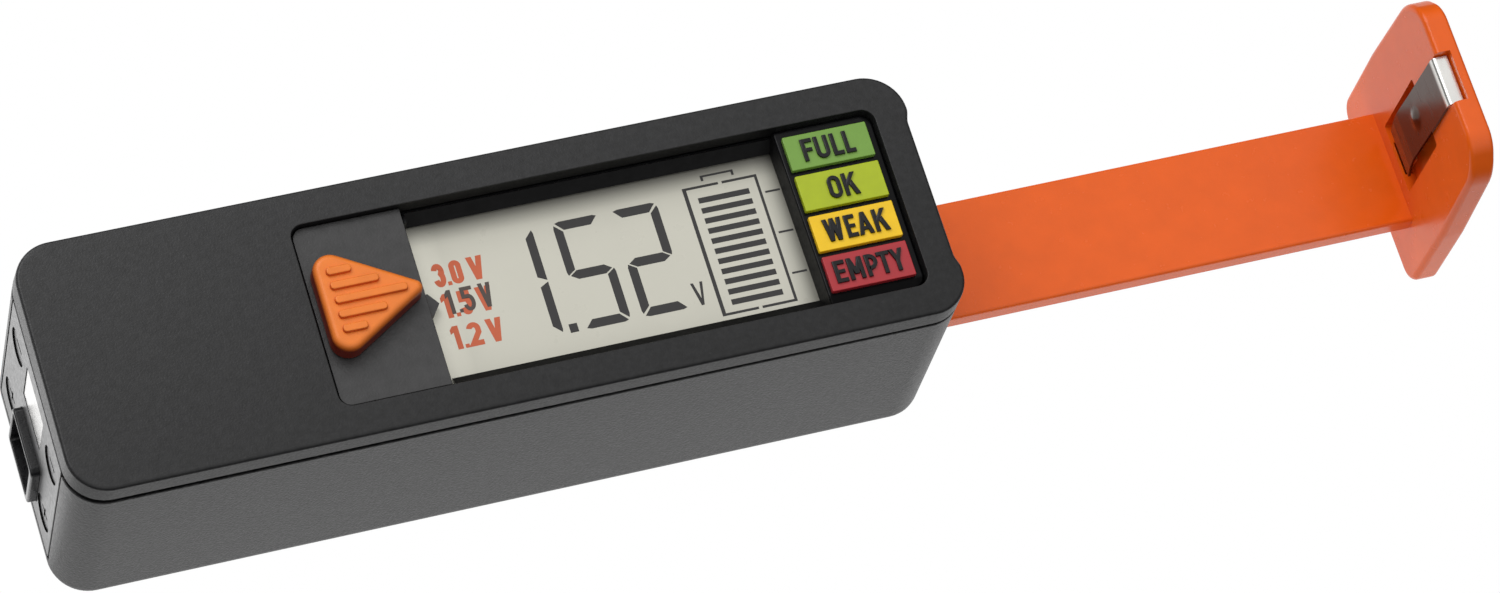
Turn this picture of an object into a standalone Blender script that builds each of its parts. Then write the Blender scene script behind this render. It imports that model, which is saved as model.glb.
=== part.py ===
"""Hand-held battery tester: housing with display and selector, and a pull-out
arm that clamps a round cell against the end of the housing.

World frame: millimetre constants below are scaled to metres.  x runs along the
housing towards the arm, y across it, z up from the flat underside.  The origin
is the middle of the housing's underside.
"""
import math

import bmesh
import bpy
from mathutils import Matrix, Vector

MM = 0.001

# ---- housing -------------------------------------------------------------
LEN = 88.6          # housing length
HALF_W = 12.9       # half of the housing width
HEIGHT = 26.2       # underside to top face
SEAM_Z = 23.6       # lower edge of the top cover
SEAM_GAP = 0.25
WALL = 1.8
CORNER_R = 4.0      # plan corners
TOP_R = 0.35        # top edge round
BOTTOM_R = 2.2      # bottom edge round
CAV_X1 = 86.0       # inside face of the right wall
SCOOP_X = 88.25     # shallow seat in the right end
SCOOP_Y = 8.3
PLATE_Z = 24.4      # underside of the cover's top plate

# ---- window, selector, display --------------------------------------------
WIN = (26.5, 85.1, 9.55, 1.3)       # x0, x1, half width, corner radius
PANEL = (26.85, 37.5, 9.2)          # selector panel x0, x1, half width
PANEL_Z = (24.1, 25.4)
SEL_Y = 0.3                         # selector position at rest (middle step)
POINTER_DY = -0.6                   # pointer's centre, measured from the knob's
SEL_STEP = 3.3                      # distance between two selector steps
SLOT_X = (28.45, 30.05)
SLOT_HALF = 4.8
KNOB_Z = (25.6, 27.8)
LCD = (37.2, 76.4, 8.7, 21.3, 22.7)  # x0, x1, half width, z0, z1
LCD_OPEN = 7.6
PLATFORM_X = (75.15, 84.55)
PLATFORM_Z = 25.2
TILE_X = (75.6, 84.15)
TILE_Z = (25.3, 25.8)
TILES = (("label_full", 4.75, 8.38), ("label_ok", 0.33, 4.12),
         ("label_weak", -4.08, -0.28), ("label_empty", -8.36, -4.66))

# ---- electronics ----------------------------------------------------------
PCB = (3.2, 84.5, 9.9, 16.3, 17.9)

# ---- arm ------------------------------------------------------------------
RAIL_HALF = 6.2
RAIL_Z = (4.85, 7.05)
RAIL_X0 = 58.5
PLATE_X = (142.3, 144.95)
PLATE_TOP = 26.9
PLATE_BOTTOM = 0.2
EAR_X = (70.5, 73.7)
EAR_HALF = 6.9
LEAF_HALF = 2.6

# ---- clean start ----------------------------------------------------------
for ob in list(bpy.data.objects):
    bpy.data.objects.remove(ob, do_unlink=True)

scene = bpy.context.scene
scene.unit_settings.system = "METRIC"
parts = bpy.data.collections.new("battery_tester")
cutters = bpy.data.collections.new("cutters")
scene.collection.children.link(parts)
scene.collection.children.link(cutters)


def wx(x):
    """Housing x in millimetres (0 at the left end) to world metres."""
    return (x - LEN / 2) * MM


def material(name, color, rough, metal=0.0):
    mat = bpy.data.materials.get(name)
    if mat is None:
        mat = bpy.data.materials.new(name)
        mat.use_nodes = True
        bsdf = mat.node_tree.nodes["Principled BSDF"]
        bsdf.inputs["Base Color"].default_value = (*color, 1.0)
        bsdf.inputs["Roughness"].default_value = rough
        bsdf.inputs["Metallic"].default_value = metal
        mat.diffuse_color = (*color, 1.0)
    return mat


GREY = ("housing_grey", (0.045, 0.045, 0.047), 0.55)
PANEL_GREY = ("panel_grey", (0.062, 0.062, 0.065), 0.5)
BLACK = ("bezel_black", (0.006, 0.006, 0.008), 0.35)
ORANGE = ("arm_orange", (0.83, 0.13, 0.02), 0.42)
KNOB = ("knob_orange", (0.86, 0.17, 0.02), 0.45)
STEEL = ("contact_nickel", (0.72, 0.70, 0.67), 0.28, 1.0)
BRASS = ("contact_brass", (0.78, 0.57, 0.27), 0.32, 1.0)
LCDM = ("lcd_glass", (0.56, 0.55, 0.49), 0.22)
BOARD = ("pcb_green", (0.02, 0.13, 0.045), 0.45)
EPOXY = ("epoxy_black", (0.008, 0.008, 0.008), 0.3)
CARRIER = ("carrier_white", (0.62, 0.62, 0.60), 0.6)
RUBBER = ("elastomer", (0.30, 0.30, 0.31), 0.7)
FERRITE = ("ferrite", (0.03, 0.03, 0.032), 0.6)
SLEEVE = ("capacitor_sleeve", (0.02, 0.03, 0.09), 0.35)
CERAMIC = ("resistor_body", (0.45, 0.30, 0.17), 0.6)
WIRE = ("wire_red", (0.55, 0.02, 0.02), 0.45)
SCREW = ("screw_zinc", (0.62, 0.62, 0.60), 0.35, 1.0)


def finish(name, mesh, mat, coll=parts, smooth=True):
    ob = bpy.data.objects.new(name, mesh)
    coll.objects.link(ob)
    if mat is not None:
        mesh.materials.clear()
        mesh.materials.append(material(*mat))
    if coll is cutters:
        ob.hide_render = True
        ob.display_type = "WIRE"
    if smooth and mesh.polygons:
        mesh.shade_smooth()
        mesh.set_sharp_from_angle(angle=math.radians(32))
    return ob


def box_mesh(name, x0, x1, y0, y1, z0, z1, corner=0.0, seg=5,
             top=0.0, bottom=0.0, tseg=3, side=0):
    """Box from a cube primitive.  Vertical edges are rounded by corner and
    the top and bottom rims by top and bottom."""
    bm = bmesh.new()
    bmesh.ops.create_cube(bm, size=1.0)
    size = Vector(((x1 - x0) * MM, (y1 - y0) * MM, (z1 - z0) * MM))
    mid = Vector(((wx(x0) + wx(x1)) / 2, (y0 + y1) / 2 * MM, (z0 + z1) / 2 * MM))
    bmesh.ops.scale(bm, vec=size, verts=bm.verts)
    bmesh.ops.translate(bm, vec=mid, verts=bm.verts)
    if corner > 0:
        up = []
        for e in bm.edges:
            a, b = e.verts
            d = (a.co - b.co)
            if abs(d.x) + abs(d.y) < 1e-7 and side * (a.co.x - mid.x) >= 0:
                up.append(e)
        bmesh.ops.bevel(bm, geom=up, offset=corner * MM, segments=seg,
                        profile=0.5, affect="EDGES")
    for z, r in ((z1, top), (z0, bottom)):
        if r > 0:
            rim = [e for e in bm.edges
                   if all(abs(v.co.z - z * MM) < 1e-7 for v in e.verts)]
            bmesh.ops.bevel(bm, geom=rim, offset=r * MM, segments=tseg,
                            profile=0.5, affect="EDGES")
    bmesh.ops.recalc_face_normals(bm, faces=bm.faces)
    mesh = bpy.data.meshes.new(name)
    bm.to_mesh(mesh)
    bm.free()
    return mesh


def box(name, x0, x1, y0, y1, z0, z1, mat=None, coll=parts, **kw):
    return finish(name, box_mesh(name, x0, x1, y0, y1, z0, z1, **kw), mat, coll)


def cyl(name, x, y, z0, z1, r, mat=None, coll=parts, n=20, r2=None):
    """Upright cylinder or cone, from the cone primitive."""
    bm = bmesh.new()
    bmesh.ops.create_cone(bm, cap_ends=True, segments=n, radius1=r * MM,
                          radius2=(r if r2 is None else r2) * MM,
                          depth=(z1 - z0) * MM)
    bmesh.ops.translate(bm, vec=(wx(x), y * MM, (z0 + z1) / 2 * MM), verts=bm.verts)
    mesh = bpy.data.meshes.new(name)
    bm.to_mesh(mesh)
    bm.free()
    return finish(name, mesh, mat, coll)


def rounded(points, n=4):
    """Outline with rounded corners: points are (u, v, radius)."""
    out = []
    count = len(points)
    for i, (u, v, r) in enumerate(points):
        p = Vector((u, v))
        a = Vector(points[i - 1][:2]) - p
        b = Vector(points[(i + 1) % count][:2]) - p
        a.normalize()
        b.normalize()
        if r <= 0:
            out.append(p)
            continue
        half = a.angle(b) / 2
        t = r / math.tan(half)
        c = p + (a + b).normalized() * (r / math.sin(half))
        s, e = p + a * t - c, p + b * t - c
        sweep = s.angle_signed(e)
        for k in range(n + 1):
            out.append(c + Matrix.Rotation(-sweep * k / n, 2) @ s)
    return out


def slab_mesh(name, outline, thick, place, rim=0.0, rim_side=1, seg=3):
    """Filled 2D curve given its thickness by extrude, made a mesh, placed by
    a matrix.  rim rounds the edge of the face at +thick/2 (rim_side 1)."""
    curve = bpy.data.curves.new(name + "_outline", "CURVE")
    curve.dimensions = "2D"
    curve.fill_mode = "BOTH"
    curve.extrude = thick * MM / 2
    spline = curve.splines.new("POLY")
    spline.points.add(len(outline) - 1)
    for p, q in zip(spline.points, outline):
        p.co = (q[0] * MM, q[1] * MM, 0.0, 1.0)
    spline.use_cyclic_u = True
    ob = bpy.data.objects.new(name + "_outline", curve)
    scene.collection.objects.link(ob)
    dg = bpy.context.evaluated_depsgraph_get()
    mesh = bpy.data.meshes.new_from_object(ob.evaluated_get(dg))
    bpy.data.objects.remove(ob)
    bm = bmesh.new()
    bm.from_mesh(mesh)
    bmesh.ops.remove_doubles(bm, verts=bm.verts, dist=1e-7)
    bmesh.ops.dissolve_limit(bm, angle_limit=math.radians(0.5),
                             verts=bm.verts, edges=bm.edges)
    if rim > 0:
        for side in ((1, -1) if rim_side == 0 else (rim_side,)):
            z = side * thick * MM / 2
            edges = [e for e in bm.edges if all(abs(v.co.z - z) < 1e-7 for v in e.verts)]
            bmesh.ops.bevel(bm, geom=edges, offset=rim * MM, segments=seg,
                            profile=0.5, affect="EDGES")
    bmesh.ops.recalc_face_normals(bm, faces=bm.faces)
    bm.transform(place)
    if place.determinant() < 0:
        bmesh.ops.reverse_faces(bm, faces=bm.faces)
    out = bpy.data.meshes.new(name)
    bm.to_mesh(out)
    bm.free()
    return out


def flat_xy(x, y, z):
    """Outline in x, y; middle of the thickness at z."""
    return Matrix.Translation((wx(x), y * MM, z * MM))


def flat_yz(x, y, z):
    """Outline u along y and v along z; thickness along x."""
    m = Matrix(((0, 0, 1, 0), (1, 0, 0, 0), (0, 1, 0, 0), (0, 0, 0, 1)))
    return Matrix.Translation((wx(x), y * MM, z * MM)) @ m


def flat_xz(x, y, z):
    """Outline u along x and v along z; thickness along y."""
    m = Matrix(((1, 0, 0, 0), (0, 0, -1, 0), (0, 1, 0, 0), (0, 0, 0, 1)))
    return Matrix.Translation((wx(x), y * MM, z * MM)) @ m


def ribbon(points, t):
    """Outline of a bent metal strip of thickness t whose middle line runs
    through points."""
    left, right = [], []
    for i, p in enumerate(points):
        p = Vector(p)
        d0 = (p - Vector(points[i - 1])).normalized() if i > 0 else None
        d1 = (Vector(points[i + 1]) - p).normalized() if i + 1 < len(points) else None
        if d0 is None:
            d0 = d1
        if d1 is None:
            d1 = d0
        n0, n1 = Vector((-d0.y, d0.x)), Vector((-d1.y, d1.x))
        n = (n0 + n1).normalized()
        k = t / 2 / max(n.dot(n0), 0.35)
        left.append(p + n * k)
        right.append(p - n * k)
    return left + right[::-1]


def boolean(ob, other, how):
    m = ob.modifiers.new(how.lower() + "_" + other.name, "BOOLEAN")
    m.operation = how
    m.solver = "EXACT"
    m.object = other
    return ob


def cut(ob, *others):
    for o in others:
        boolean(ob, o, "DIFFERENCE")
    return ob


def join(ob, *others):
    for o in others:
        boolean(ob, o, "UNION")
    return ob


def cbox(name, *a, **kw):
    return box(name, *a, coll=cutters, **kw)


# ===========================================================================
# bottom shell
# ===========================================================================
shell = box("bottom_shell", 0, LEN, -HALF_W, HALF_W, 0, SEAM_Z - SEAM_GAP, GREY,
            corner=CORNER_R, seg=6, bottom=BOTTOM_R, tseg=4)
cut(shell,
    cbox("c_cavity", WALL, CAV_X1, -HALF_W + WALL, HALF_W - WALL, WALL, 30,
         corner=CORNER_R - WALL, seg=3),
    cbox("c_end_opening", -1, WALL + 0.3, -9.1, 9.1, 2.7, 30),
    cbox("c_scoop_low", SCOOP_X, LEN + 2, -SCOOP_Y, SCOOP_Y, -1, 30),
    cbox("c_rail_slot", CAV_X1 - 0.5, LEN + 1, -RAIL_HALF - 0.3, RAIL_HALF + 0.3,
         RAIL_Z[0] - 0.3, RAIL_Z[1] + 0.3),
    cbox("c_leaf_slot", CAV_X1 - 0.5, LEN + 1, -LEAF_HALF - 0.3, LEAF_HALF + 0.3,
         8.6, 19.4))
BOSS_X, BOSS_Y = 10.0, 9.0
for i, s in enumerate((-1, 1)):
    join(shell, cyl(f"a_boss_{i}", BOSS_X, s * BOSS_Y, 1.0, 9.0, 2.0, coll=cutters, n=16))
    cut(shell, cyl(f"c_boss_bore_{i}", BOSS_X, s * BOSS_Y, -1, 5.0, 1.6, coll=cutters, n=16),
        cyl(f"c_boss_hole_{i}", BOSS_X, s * BOSS_Y, 4.0, 10.0, 1.15, coll=cutters, n=16))
    for j, x in enumerate((22.0, 46.0, 66.0)):
        join(shell, cbox(f"a_rib_{i}_{j}", x, x + 1.2, *sorted((s * 9.2, s * 11.6)), 1.0, 16.0))

# ===========================================================================
# top cover with the window
# ===========================================================================
cover = box("top_cover", 0, LEN, -HALF_W, HALF_W, SEAM_Z, HEIGHT, GREY,
            corner=CORNER_R, seg=8, top=TOP_R, tseg=3)
cut(cover, cbox("c_cover_inside", WALL, CAV_X1, -HALF_W + WALL, HALF_W - WALL, SEAM_Z - 1,
                PLATE_Z, corner=CORNER_R - WALL, seg=3))
lip = cbox("a_lip", WALL + 0.2, CAV_X1 - 0.2, -HALF_W + WALL + 0.2, HALF_W - WALL - 0.2,
           22.2, PLATE_Z + 0.3, corner=CORNER_R - WALL - 0.2, seg=3)
cut(lip, cbox("c_lip_in", WALL + 1.0, CAV_X1 - 1.0, -HALF_W + WALL + 1.0, HALF_W - WALL - 1.0,
              21, 25, corner=1.0, seg=2),
    cbox("c_lip_left", 1.5, 3.2, -9.6, 9.6, 21, PLATE_Z + 0.1),
    cbox("c_lip_leaf", 84.0, 87.0, -LEAF_HALF - 0.3, LEAF_HALF + 0.3, 21, PLATE_Z - 0.4))
join(cover, lip)
for i, s in enumerate((-1, 1)):
    join(cover, cyl(f"a_post_{i}", BOSS_X, s * BOSS_Y, 9.3, PLATE_Z + 0.4, 1.6, coll=cutters, n=16))
    cut(cover, cyl(f"c_pilot_{i}", BOSS_X, s * BOSS_Y, 8.0, 19.0, 0.95, coll=cutters, n=12))
cut(cover,
    cbox("c_window", WIN[0], WIN[1], -WIN[2], WIN[2], 20, 30, corner=WIN[3], seg=5),
    cbox("c_scoop_top", SCOOP_X, LEN + 2, -SCOOP_Y, SCOOP_Y, 20, 30))

# ===========================================================================
# left end: panel, polarity collar and the two block-cell contacts
# ===========================================================================
panel = box("end_panel", 0, 1.7, -8.95, 8.95, 2.9, 23.3, GREY)
join(panel, cbox("a_panel_mid", 1.2, 2.4, -8.9, 8.9, 3.0, 21.8),
     cbox("a_panel_flange", 2.05, 2.8, -9.6, 9.6, 2.2, 21.9))
cut(panel,
    cbox("c_minus_window", -1, 4, -2.95, 2.95, 14.9, 20.8),
    cbox("c_collar_window", -1, 4, -4.3, 3.4, 4.7, 12.2, corner=0.0))

collar = finish("polarity_collar", slab_mesh(
    "polarity_collar", rounded([(-4.1, 4.9, 0.7), (3.2, 4.9, 0.7), (3.2, 12.0, 0.7), (-4.1, 12.0, 0.7)]),
    3.6, flat_yz(0.9, 0, 0), rim=0.25, rim_side=-1, seg=2), BLACK)
cut(collar, finish("c_collar_in", slab_mesh(
    "c_collar_in", rounded([(-3.3, 5.5, 0.4), (2.6, 5.5, 0.4), (2.6, 11.4, 0.4), (-3.3, 11.4, 0.4)], 2),
    4.0, flat_yz(-0.3, 0, 0)), None, cutters),
    cbox("c_collar_slot", 0, 4, -1.3, 1.3, 9.7, 10.6))

minus = box("block_contact_minus", 0.06, 0.36, -2.75, 2.75, 15.1, 20.6, STEEL)
join(minus, cbox("a_minus_tail", 0.3, 8.0, -1.2, 1.2, 18.2, 18.5))
plus = finish("block_contact_plus", slab_mesh(
    "block_contact_plus", ribbon([(1.35, 6.2), (1.35, 10.15), (4.2, 10.15), (4.2, 15.85), (7.2, 15.85)], 0.3),
    2.0, flat_xz(0, 0, 0)), STEEL)
join(plus, cbox("a_plus_pad", 1.15, 1.45, -2.0, 2.0, 6.0, 10.9))

# ===========================================================================
# selector: fixed panel, sliding knob, carriage with pointer, wiper
# ===========================================================================
sel_panel = box("selector_panel", PANEL[0], PANEL[1], -PANEL[2], PANEL[2], PANEL_Z[0] - 0.05, PANEL_Z[1],
                PANEL_GREY, corner=1.1, seg=4, side=-1)
flange = cbox("a_sel_flange", 25.3, 37.4, -9.85, 9.85, 23.4, PANEL_Z[0])
join(sel_panel, flange)
cut(sel_panel,
    cbox("c_sel_pocket", 27.3, 40.0, -8.4, 8.4, 23.0, PANEL_Z[0]),
    cbox("c_sel_slot", SLOT_X[0], SLOT_X[1], SEL_Y - SLOT_HALF, SEL_Y + SLOT_HALF, 23, 27))

tri = rounded([(27.2, 6.45, 1.7), (27.2, -6.45, 1.7), (37.75, 0.0, 0.75)], 5)
knob = finish("selector_knob", slab_mesh(
    "selector_knob", tri, KNOB_Z[1] - KNOB_Z[0], flat_xy(0, SEL_Y, sum(KNOB_Z) / 2), rim=0.55, seg=3), KNOB)
STEM_X = (SLOT_X[0] + 0.3, SLOT_X[1] - 0.3)
join(knob, cbox("a_stem", STEM_X[0], STEM_X[1], SEL_Y - 1.4, SEL_Y + 1.4, 22.9, KNOB_Z[0] + 0.5))
for i, (dy, x0, x1) in enumerate(((3.0, 28.3, 30.9), (1.5, 28.3, 33.2), (0.0, 28.4, 35.6),
                                  (-1.5, 28.3, 33.2), (-3.0, 28.3, 30.9))):
    rib = cbox(f"a_knob_rib_{i}", x0, x1, SEL_Y + dy - 0.38, SEL_Y + dy + 0.38, KNOB_Z[1] - 0.4,
               KNOB_Z[1] + 0.3, corner=0.33, seg=2)
    join(knob, rib)

carriage = box("selector_carriage", 28.0, 36.8, SEL_Y - 4.4, SEL_Y + 4.4, 23.0, 23.7, BLACK)
pointer = finish("a_pointer", slab_mesh("a_pointer", [(36.0, -1.15), (38.1, -1.15), (38.95, 0.0), (38.1, 1.15),
                                                      (36.0, 1.15)], 0.6, flat_xy(0, SEL_Y + POINTER_DY, 23.35)), None, cutters)
join(carriage, pointer,
     cbox("a_carriage_post", 33.2, 36.0, SEL_Y - 1.6, SEL_Y + 1.6, 19.0, 23.2))
cut(carriage, cbox("c_carriage_hole", STEM_X[0] - 0.2, STEM_X[1] + 0.2, SEL_Y - 1.6, SEL_Y + 1.6, 22, 25))

wiper = finish("selector_wiper", slab_mesh(
    "selector_wiper", ribbon([(-1.5, 18.75), (-0.9, 18.4), (0.9, 18.4), (1.5, 18.75)], 0.25),
    2.4, flat_yz(34.6, SEL_Y, 0)), BRASS)

# ===========================================================================
# display: bezel with label platform, glass, carrier, elastomer connector
# ===========================================================================
bezel = box("display_bezel", 37.75, 84.85, -9.4, 9.4, 22.95, 25.9, BLACK, corner=1.2, seg=4, side=1)
cut(bezel, cbox("c_bezel_well", 30, 84.4, -8.9, 8.9, 23.35, 30, corner=0.7, seg=3, side=1))
join(bezel, cbox("a_bezel_flange_far", 37.8, 83.8, 9.2, 9.9, 22.95, 24.1),
     cbox("a_bezel_flange_near", 37.8, 83.8, -9.9, -9.2, 22.95, 24.1),
     cbox("a_platform", PLATFORM_X[0], PLATFORM_X[1], -9.0, 9.0, 23.0, PLATFORM_Z, corner=0.9, seg=3, side=1))
cut(bezel, cbox("c_bezel_open", 30, PLATFORM_X[0], -LCD_OPEN, LCD_OPEN, 20, 24.5))

glass = box("lcd_glass", LCD[0], LCD[1], -LCD[2], LCD[2], LCD[3], LCD[4], LCDM)

for name, y0, y1 in TILES:
    color = {"label_full": (0.18, 0.37, 0.07), "label_ok": (0.42, 0.52, 0.02),
             "label_weak": (0.91, 0.55, 0.015), "label_empty": (0.50, 0.045, 0.05)}[name]
    box(name, TILE_X[0], TILE_X[1], y0, y1, TILE_Z[0], TILE_Z[1], (name + "_paint", color, 0.45))

carrier = box("display_carrier", 37.2, 84.4, -9.7, 9.7, 19.3, 21.0, CARRIER)
cut(carrier, cbox("c_zebra_slot", 39.7, 73.3, 6.9, 8.5, 18, 22),
    cbox("c_light_well", 41.0, 72.0, -7.0, 5.4, 20.2, 22))
box("elastomer_strip", 40.0, 73.0, 7.2, 8.2, 18.2, 21.05, RUBBER)

# ===========================================================================
# circuit board and what it carries
# ===========================================================================
pcb = box("circuit_board", PCB[0], PCB[1], -PCB[2], PCB[2], PCB[3], PCB[4], BOARD)
cut(pcb, *[cyl(f"c_pcb_{i}", BOSS_X, s * BOSS_Y, 15, 19, 2.1, coll=cutters, n=16)
           for i, s in enumerate((-1, 1))])

dome = bmesh.new()
bmesh.ops.create_uvsphere(dome, u_segments=20, v_segments=10, radius=1.0)
bmesh.ops.scale(dome, vec=(4.2 * MM, 3.6 * MM, 1.0 * MM), verts=dome.verts)
bmesh.ops.bisect_plane(dome, geom=dome.verts[:] + dome.edges[:] + dome.faces[:], plane_co=(0, 0, 0.00005),
                       plane_no=(0, 0, 1), clear_inner=True)
bmesh.ops.holes_fill(dome, edges=[e for e in dome.edges if e.is_boundary], sides=0)
bmesh.ops.translate(dome, vec=(wx(58.0), -1.0 * MM, 18.1 * MM), verts=dome.verts)
bmesh.ops.recalc_face_normals(dome, faces=dome.faces)
dome_mesh = bpy.data.meshes.new("chip_dome")
dome.to_mesh(dome_mesh)
dome.free()
finish("chip_dome", dome_mesh, EPOXY)


def turned(name, profile, place, mat, steps=20):
    """Turned piece: profile (radius, height) from top to bottom, screwed
    round the z axis, then placed."""
    bm = bmesh.new()
    vs = [bm.verts.new((r * MM, 0, z * MM)) for r, z in profile]
    for a, b in zip(vs, vs[1:]):
        bm.edges.new((a, b))
    mesh = bpy.data.meshes.new(name)
    bm.to_mesh(mesh)
    bm.free()
    ob = finish(name, mesh, mat)
    ob.matrix_world = place
    m = ob.modifiers.new("turn", "SCREW")
    m.steps = steps
    m.render_steps = steps
    m.use_merge_vertices = True
    m.merge_threshold = 0.00001
    m.use_smooth_shade = True
    return ob


turned("step_up_coil", [(0, 6.0), (3.5, 6.0), (3.5, 5.0), (2.6, 4.9), (2.6, 1.1), (3.5, 1.0), (3.5, 0), (0, 0)],
       Matrix.Translation((wx(30.0), 0.0, 9.9 * MM)), FERRITE)
turned("buffer_capacitor", [(0, 6.6), (2.2, 6.6), (2.5, 6.3), (2.5, 1.1), (2.3, 0.9), (2.5, 0.6), (2.5, 0), (0, 0)],
       Matrix.Translation((wx(42.0), 3.6 * MM, 9.35 * MM)), SLEEVE)
turned("load_resistor", [(0, 12.0), (0.3, 12.0), (0.3, 9.6), (1.2, 9.2), (1.3, 8.2), (1.1, 7.7), (1.1, 4.3),
                         (1.3, 3.8), (1.2, 2.8), (0.3, 2.4), (0.3, 0), (0, 0)],
       Matrix.Translation((wx(50.0), -3.0 * MM, 14.6 * MM)) @ Matrix.Rotation(math.radians(90), 4, "Y"),
       CERAMIC, 16)

# ===========================================================================
# right end of the housing: spring leaf that meets the cell
# ===========================================================================
leaf = finish("cell_leaf", slab_mesh(
    "cell_leaf", ribbon([(79.0, 18.35), (87.7, 18.35), (89.3, 17.7), (90.6, 16.2), (91.05, 14.2), (90.6, 12.2),
                         (89.6, 10.7), (88.75, 9.3)], 0.3),
    2 * LEAF_HALF, flat_xz(0, 0, 0)), STEEL)

# ===========================================================================
# slide-out arm: rail, end plate, contact leaf and current strip
# ===========================================================================
plate_outline = rounded([(7.4, PLATE_TOP, 1.6), (9.95, 23.8, 2.6), (10.65, 12.0, 14.0), (10.55, PLATE_BOTTOM, 1.7),
                         (-10.55, PLATE_BOTTOM, 1.7), (-10.65, 12.0, 14.0), (-9.95, 23.8, 2.6),
                         (-7.4, PLATE_TOP, 1.6)], 4)
arm = finish("slide_arm", slab_mesh("slide_arm", plate_outline, PLATE_X[1] - PLATE_X[0],
                                    flat_yz(sum(PLATE_X) / 2, 0, 0), rim=0.4, rim_side=0, seg=3), ORANGE)
rail = cbox("a_rail", RAIL_X0, PLATE_X[0] + 0.8, -RAIL_HALF, RAIL_HALF, RAIL_Z[0], RAIL_Z[1],
            top=0.3, bottom=0.2, tseg=2)
ears = cbox("a_rail_ears", EAR_X[0], EAR_X[1], -EAR_HALF, EAR_HALF, RAIL_Z[0] + 0.35, RAIL_Z[1] - 0.4)
join(arm, rail, ears)
cut(arm,
    cbox("c_strip_groove", RAIL_X0 - 1, 143.4, -1.9, 1.9, 4.0, 5.6),
    cbox("c_strip_riser", PLATE_X[0] + 0.3, 143.5, -1.85, 1.85, 4.3, 9.0),
    cbox("c_leaf_pocket", PLATE_X[0] - 0.5, 143.6, -3.8, 3.8, 8.7, 19.3),
    cbox("c_top_notch", PLATE_X[0] - 0.5, 144.0, -2.85, 2.85, 25.5, 30))

arm_leaf = finish("arm_leaf", slab_mesh(
    "arm_leaf", ribbon([(143.65, 25.85), (142.25, 25.85), (142.06, 25.6), (141.92, 18.0), (141.8, 15.6),
                        (141.75, 13.8), (141.95, 12.2), (142.4, 10.4), (142.5, 9.8)], 0.3),
    2 * LEAF_HALF, flat_xz(0, 0, 0)), STEEL)
strip = finish("arm_strip", slab_mesh(
    "arm_strip", ribbon([(59.0, 5.15), (143.1, 5.15), (143.1, 11.5)], 0.3), 3.2, flat_xz(0, 0, 0)), BRASS)

# ===========================================================================
# rail guide, wiper for the strip and its lead, housing screws
# ===========================================================================
guide = box("rail_guide", 13.0, 85.6, -7.9, 7.9, 2.1, 8.2, BLACK)
cut(guide, cbox("c_guide_in", 12, 87, -7.15, 7.15, 1, 7.35),
    cbox("c_guide_notch", 73.9, 77.7, 6.5, 9.0, 1, 3.2))
arm_wiper = finish("arm_wiper", slab_mesh(
    "arm_wiper", ribbon([(73.5, 2.3), (76.8, 2.3), (78.6, 4.2), (80.0, 4.6), (81.4, 4.2), (83.2, 2.3), (84.6, 2.3)], 0.3),
    2.6, flat_xz(0, 0, 0)), BRASS)
join(arm_wiper, cbox("a_wiper_tab", 74.3, 77.2, 0.9, 10.4, 2.16, 2.44))

wire = bpy.data.curves.new("wiper_lead", "CURVE")
wire.dimensions = "3D"
wire.bevel_depth = 0.45 * MM
wire.bevel_resolution = 2
wire.use_fill_caps = True
sp = wire.splines.new("POLY")
path = [(75.8, 9.7, 2.85), (75.8, 9.75, 6.0), (75.6, 9.6, 9.5), (75.8, 9.4, 13.0), (75.8, 9.2, 15.95)]
sp.points.add(len(path) - 1)
for p, (x, y, z) in zip(sp.points, path):
    p.co = (wx(x), y * MM, z * MM, 1.0)
wire_ob = bpy.data.objects.new("wiper_lead", wire)
parts.objects.link(wire_ob)
wire.materials.append(material(*WIRE))

for i, s in enumerate((-1, 1)):
    screw = turned(f"housing_screw_{i + 1}", [(0, 17.5), (0.85, 17.2), (0.85, 5.6), (0.85, 4.8), (1.45, 4.75),
                                              (1.45, 3.9), (1.1, 3.6), (0, 3.6)],
                   Matrix.Translation((wx(BOSS_X), s * BOSS_Y * MM, 0)), SCREW, 16)

# ===========================================================================
# moving groups: each hangs on an empty that stands on its joint's axis
# ===========================================================================
def group(name, at, members):
    axis = bpy.data.objects.new(name, None)
    axis.empty_display_size = 0.004
    axis.location = at
    parts.objects.link(axis)
    bpy.context.view_layer.update()
    for n in members:
        ob = bpy.data.objects[n]
        ob.parent = axis
        ob.matrix_parent_inverse = axis.matrix_world.inverted()
    return axis


arm_axis = group("arm_slide_axis", (wx(PLATE_X[0]), 0, sum(RAIL_Z) / 2 * MM), ("slide_arm", "arm_strip"))
leaf_axis = group("arm_leaf_hinge_axis", (wx(142.25), 0, 25.85 * MM), ("arm_leaf",))
leaf_axis.parent = arm_axis
leaf_axis.matrix_parent_inverse = arm_axis.matrix_world.inverted()
group("selector_slide_axis", (wx(sum(SLOT_X) / 2), SEL_Y * MM, 23.35 * MM),
      ("selector_knob", "selector_carriage", "selector_wiper"))
group("cell_leaf_slide_axis", (wx(87.7), 0, 18.35 * MM), ("cell_leaf",))
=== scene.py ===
"""Looks for a battery tester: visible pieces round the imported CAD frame,
procedural finishes, a white table and soft light.

Shapes are given in millimetres: x runs along the housing from its left end,
y across it (plus is the far side), z up from the underside.  The display
faces up, the selector is left of it, and the orange arm slides out of the
right end.  In the scene, in metres, the housing is centred on x = 0.
"""

import math

import bmesh
import bpy
from mathutils import Matrix, Vector


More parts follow.
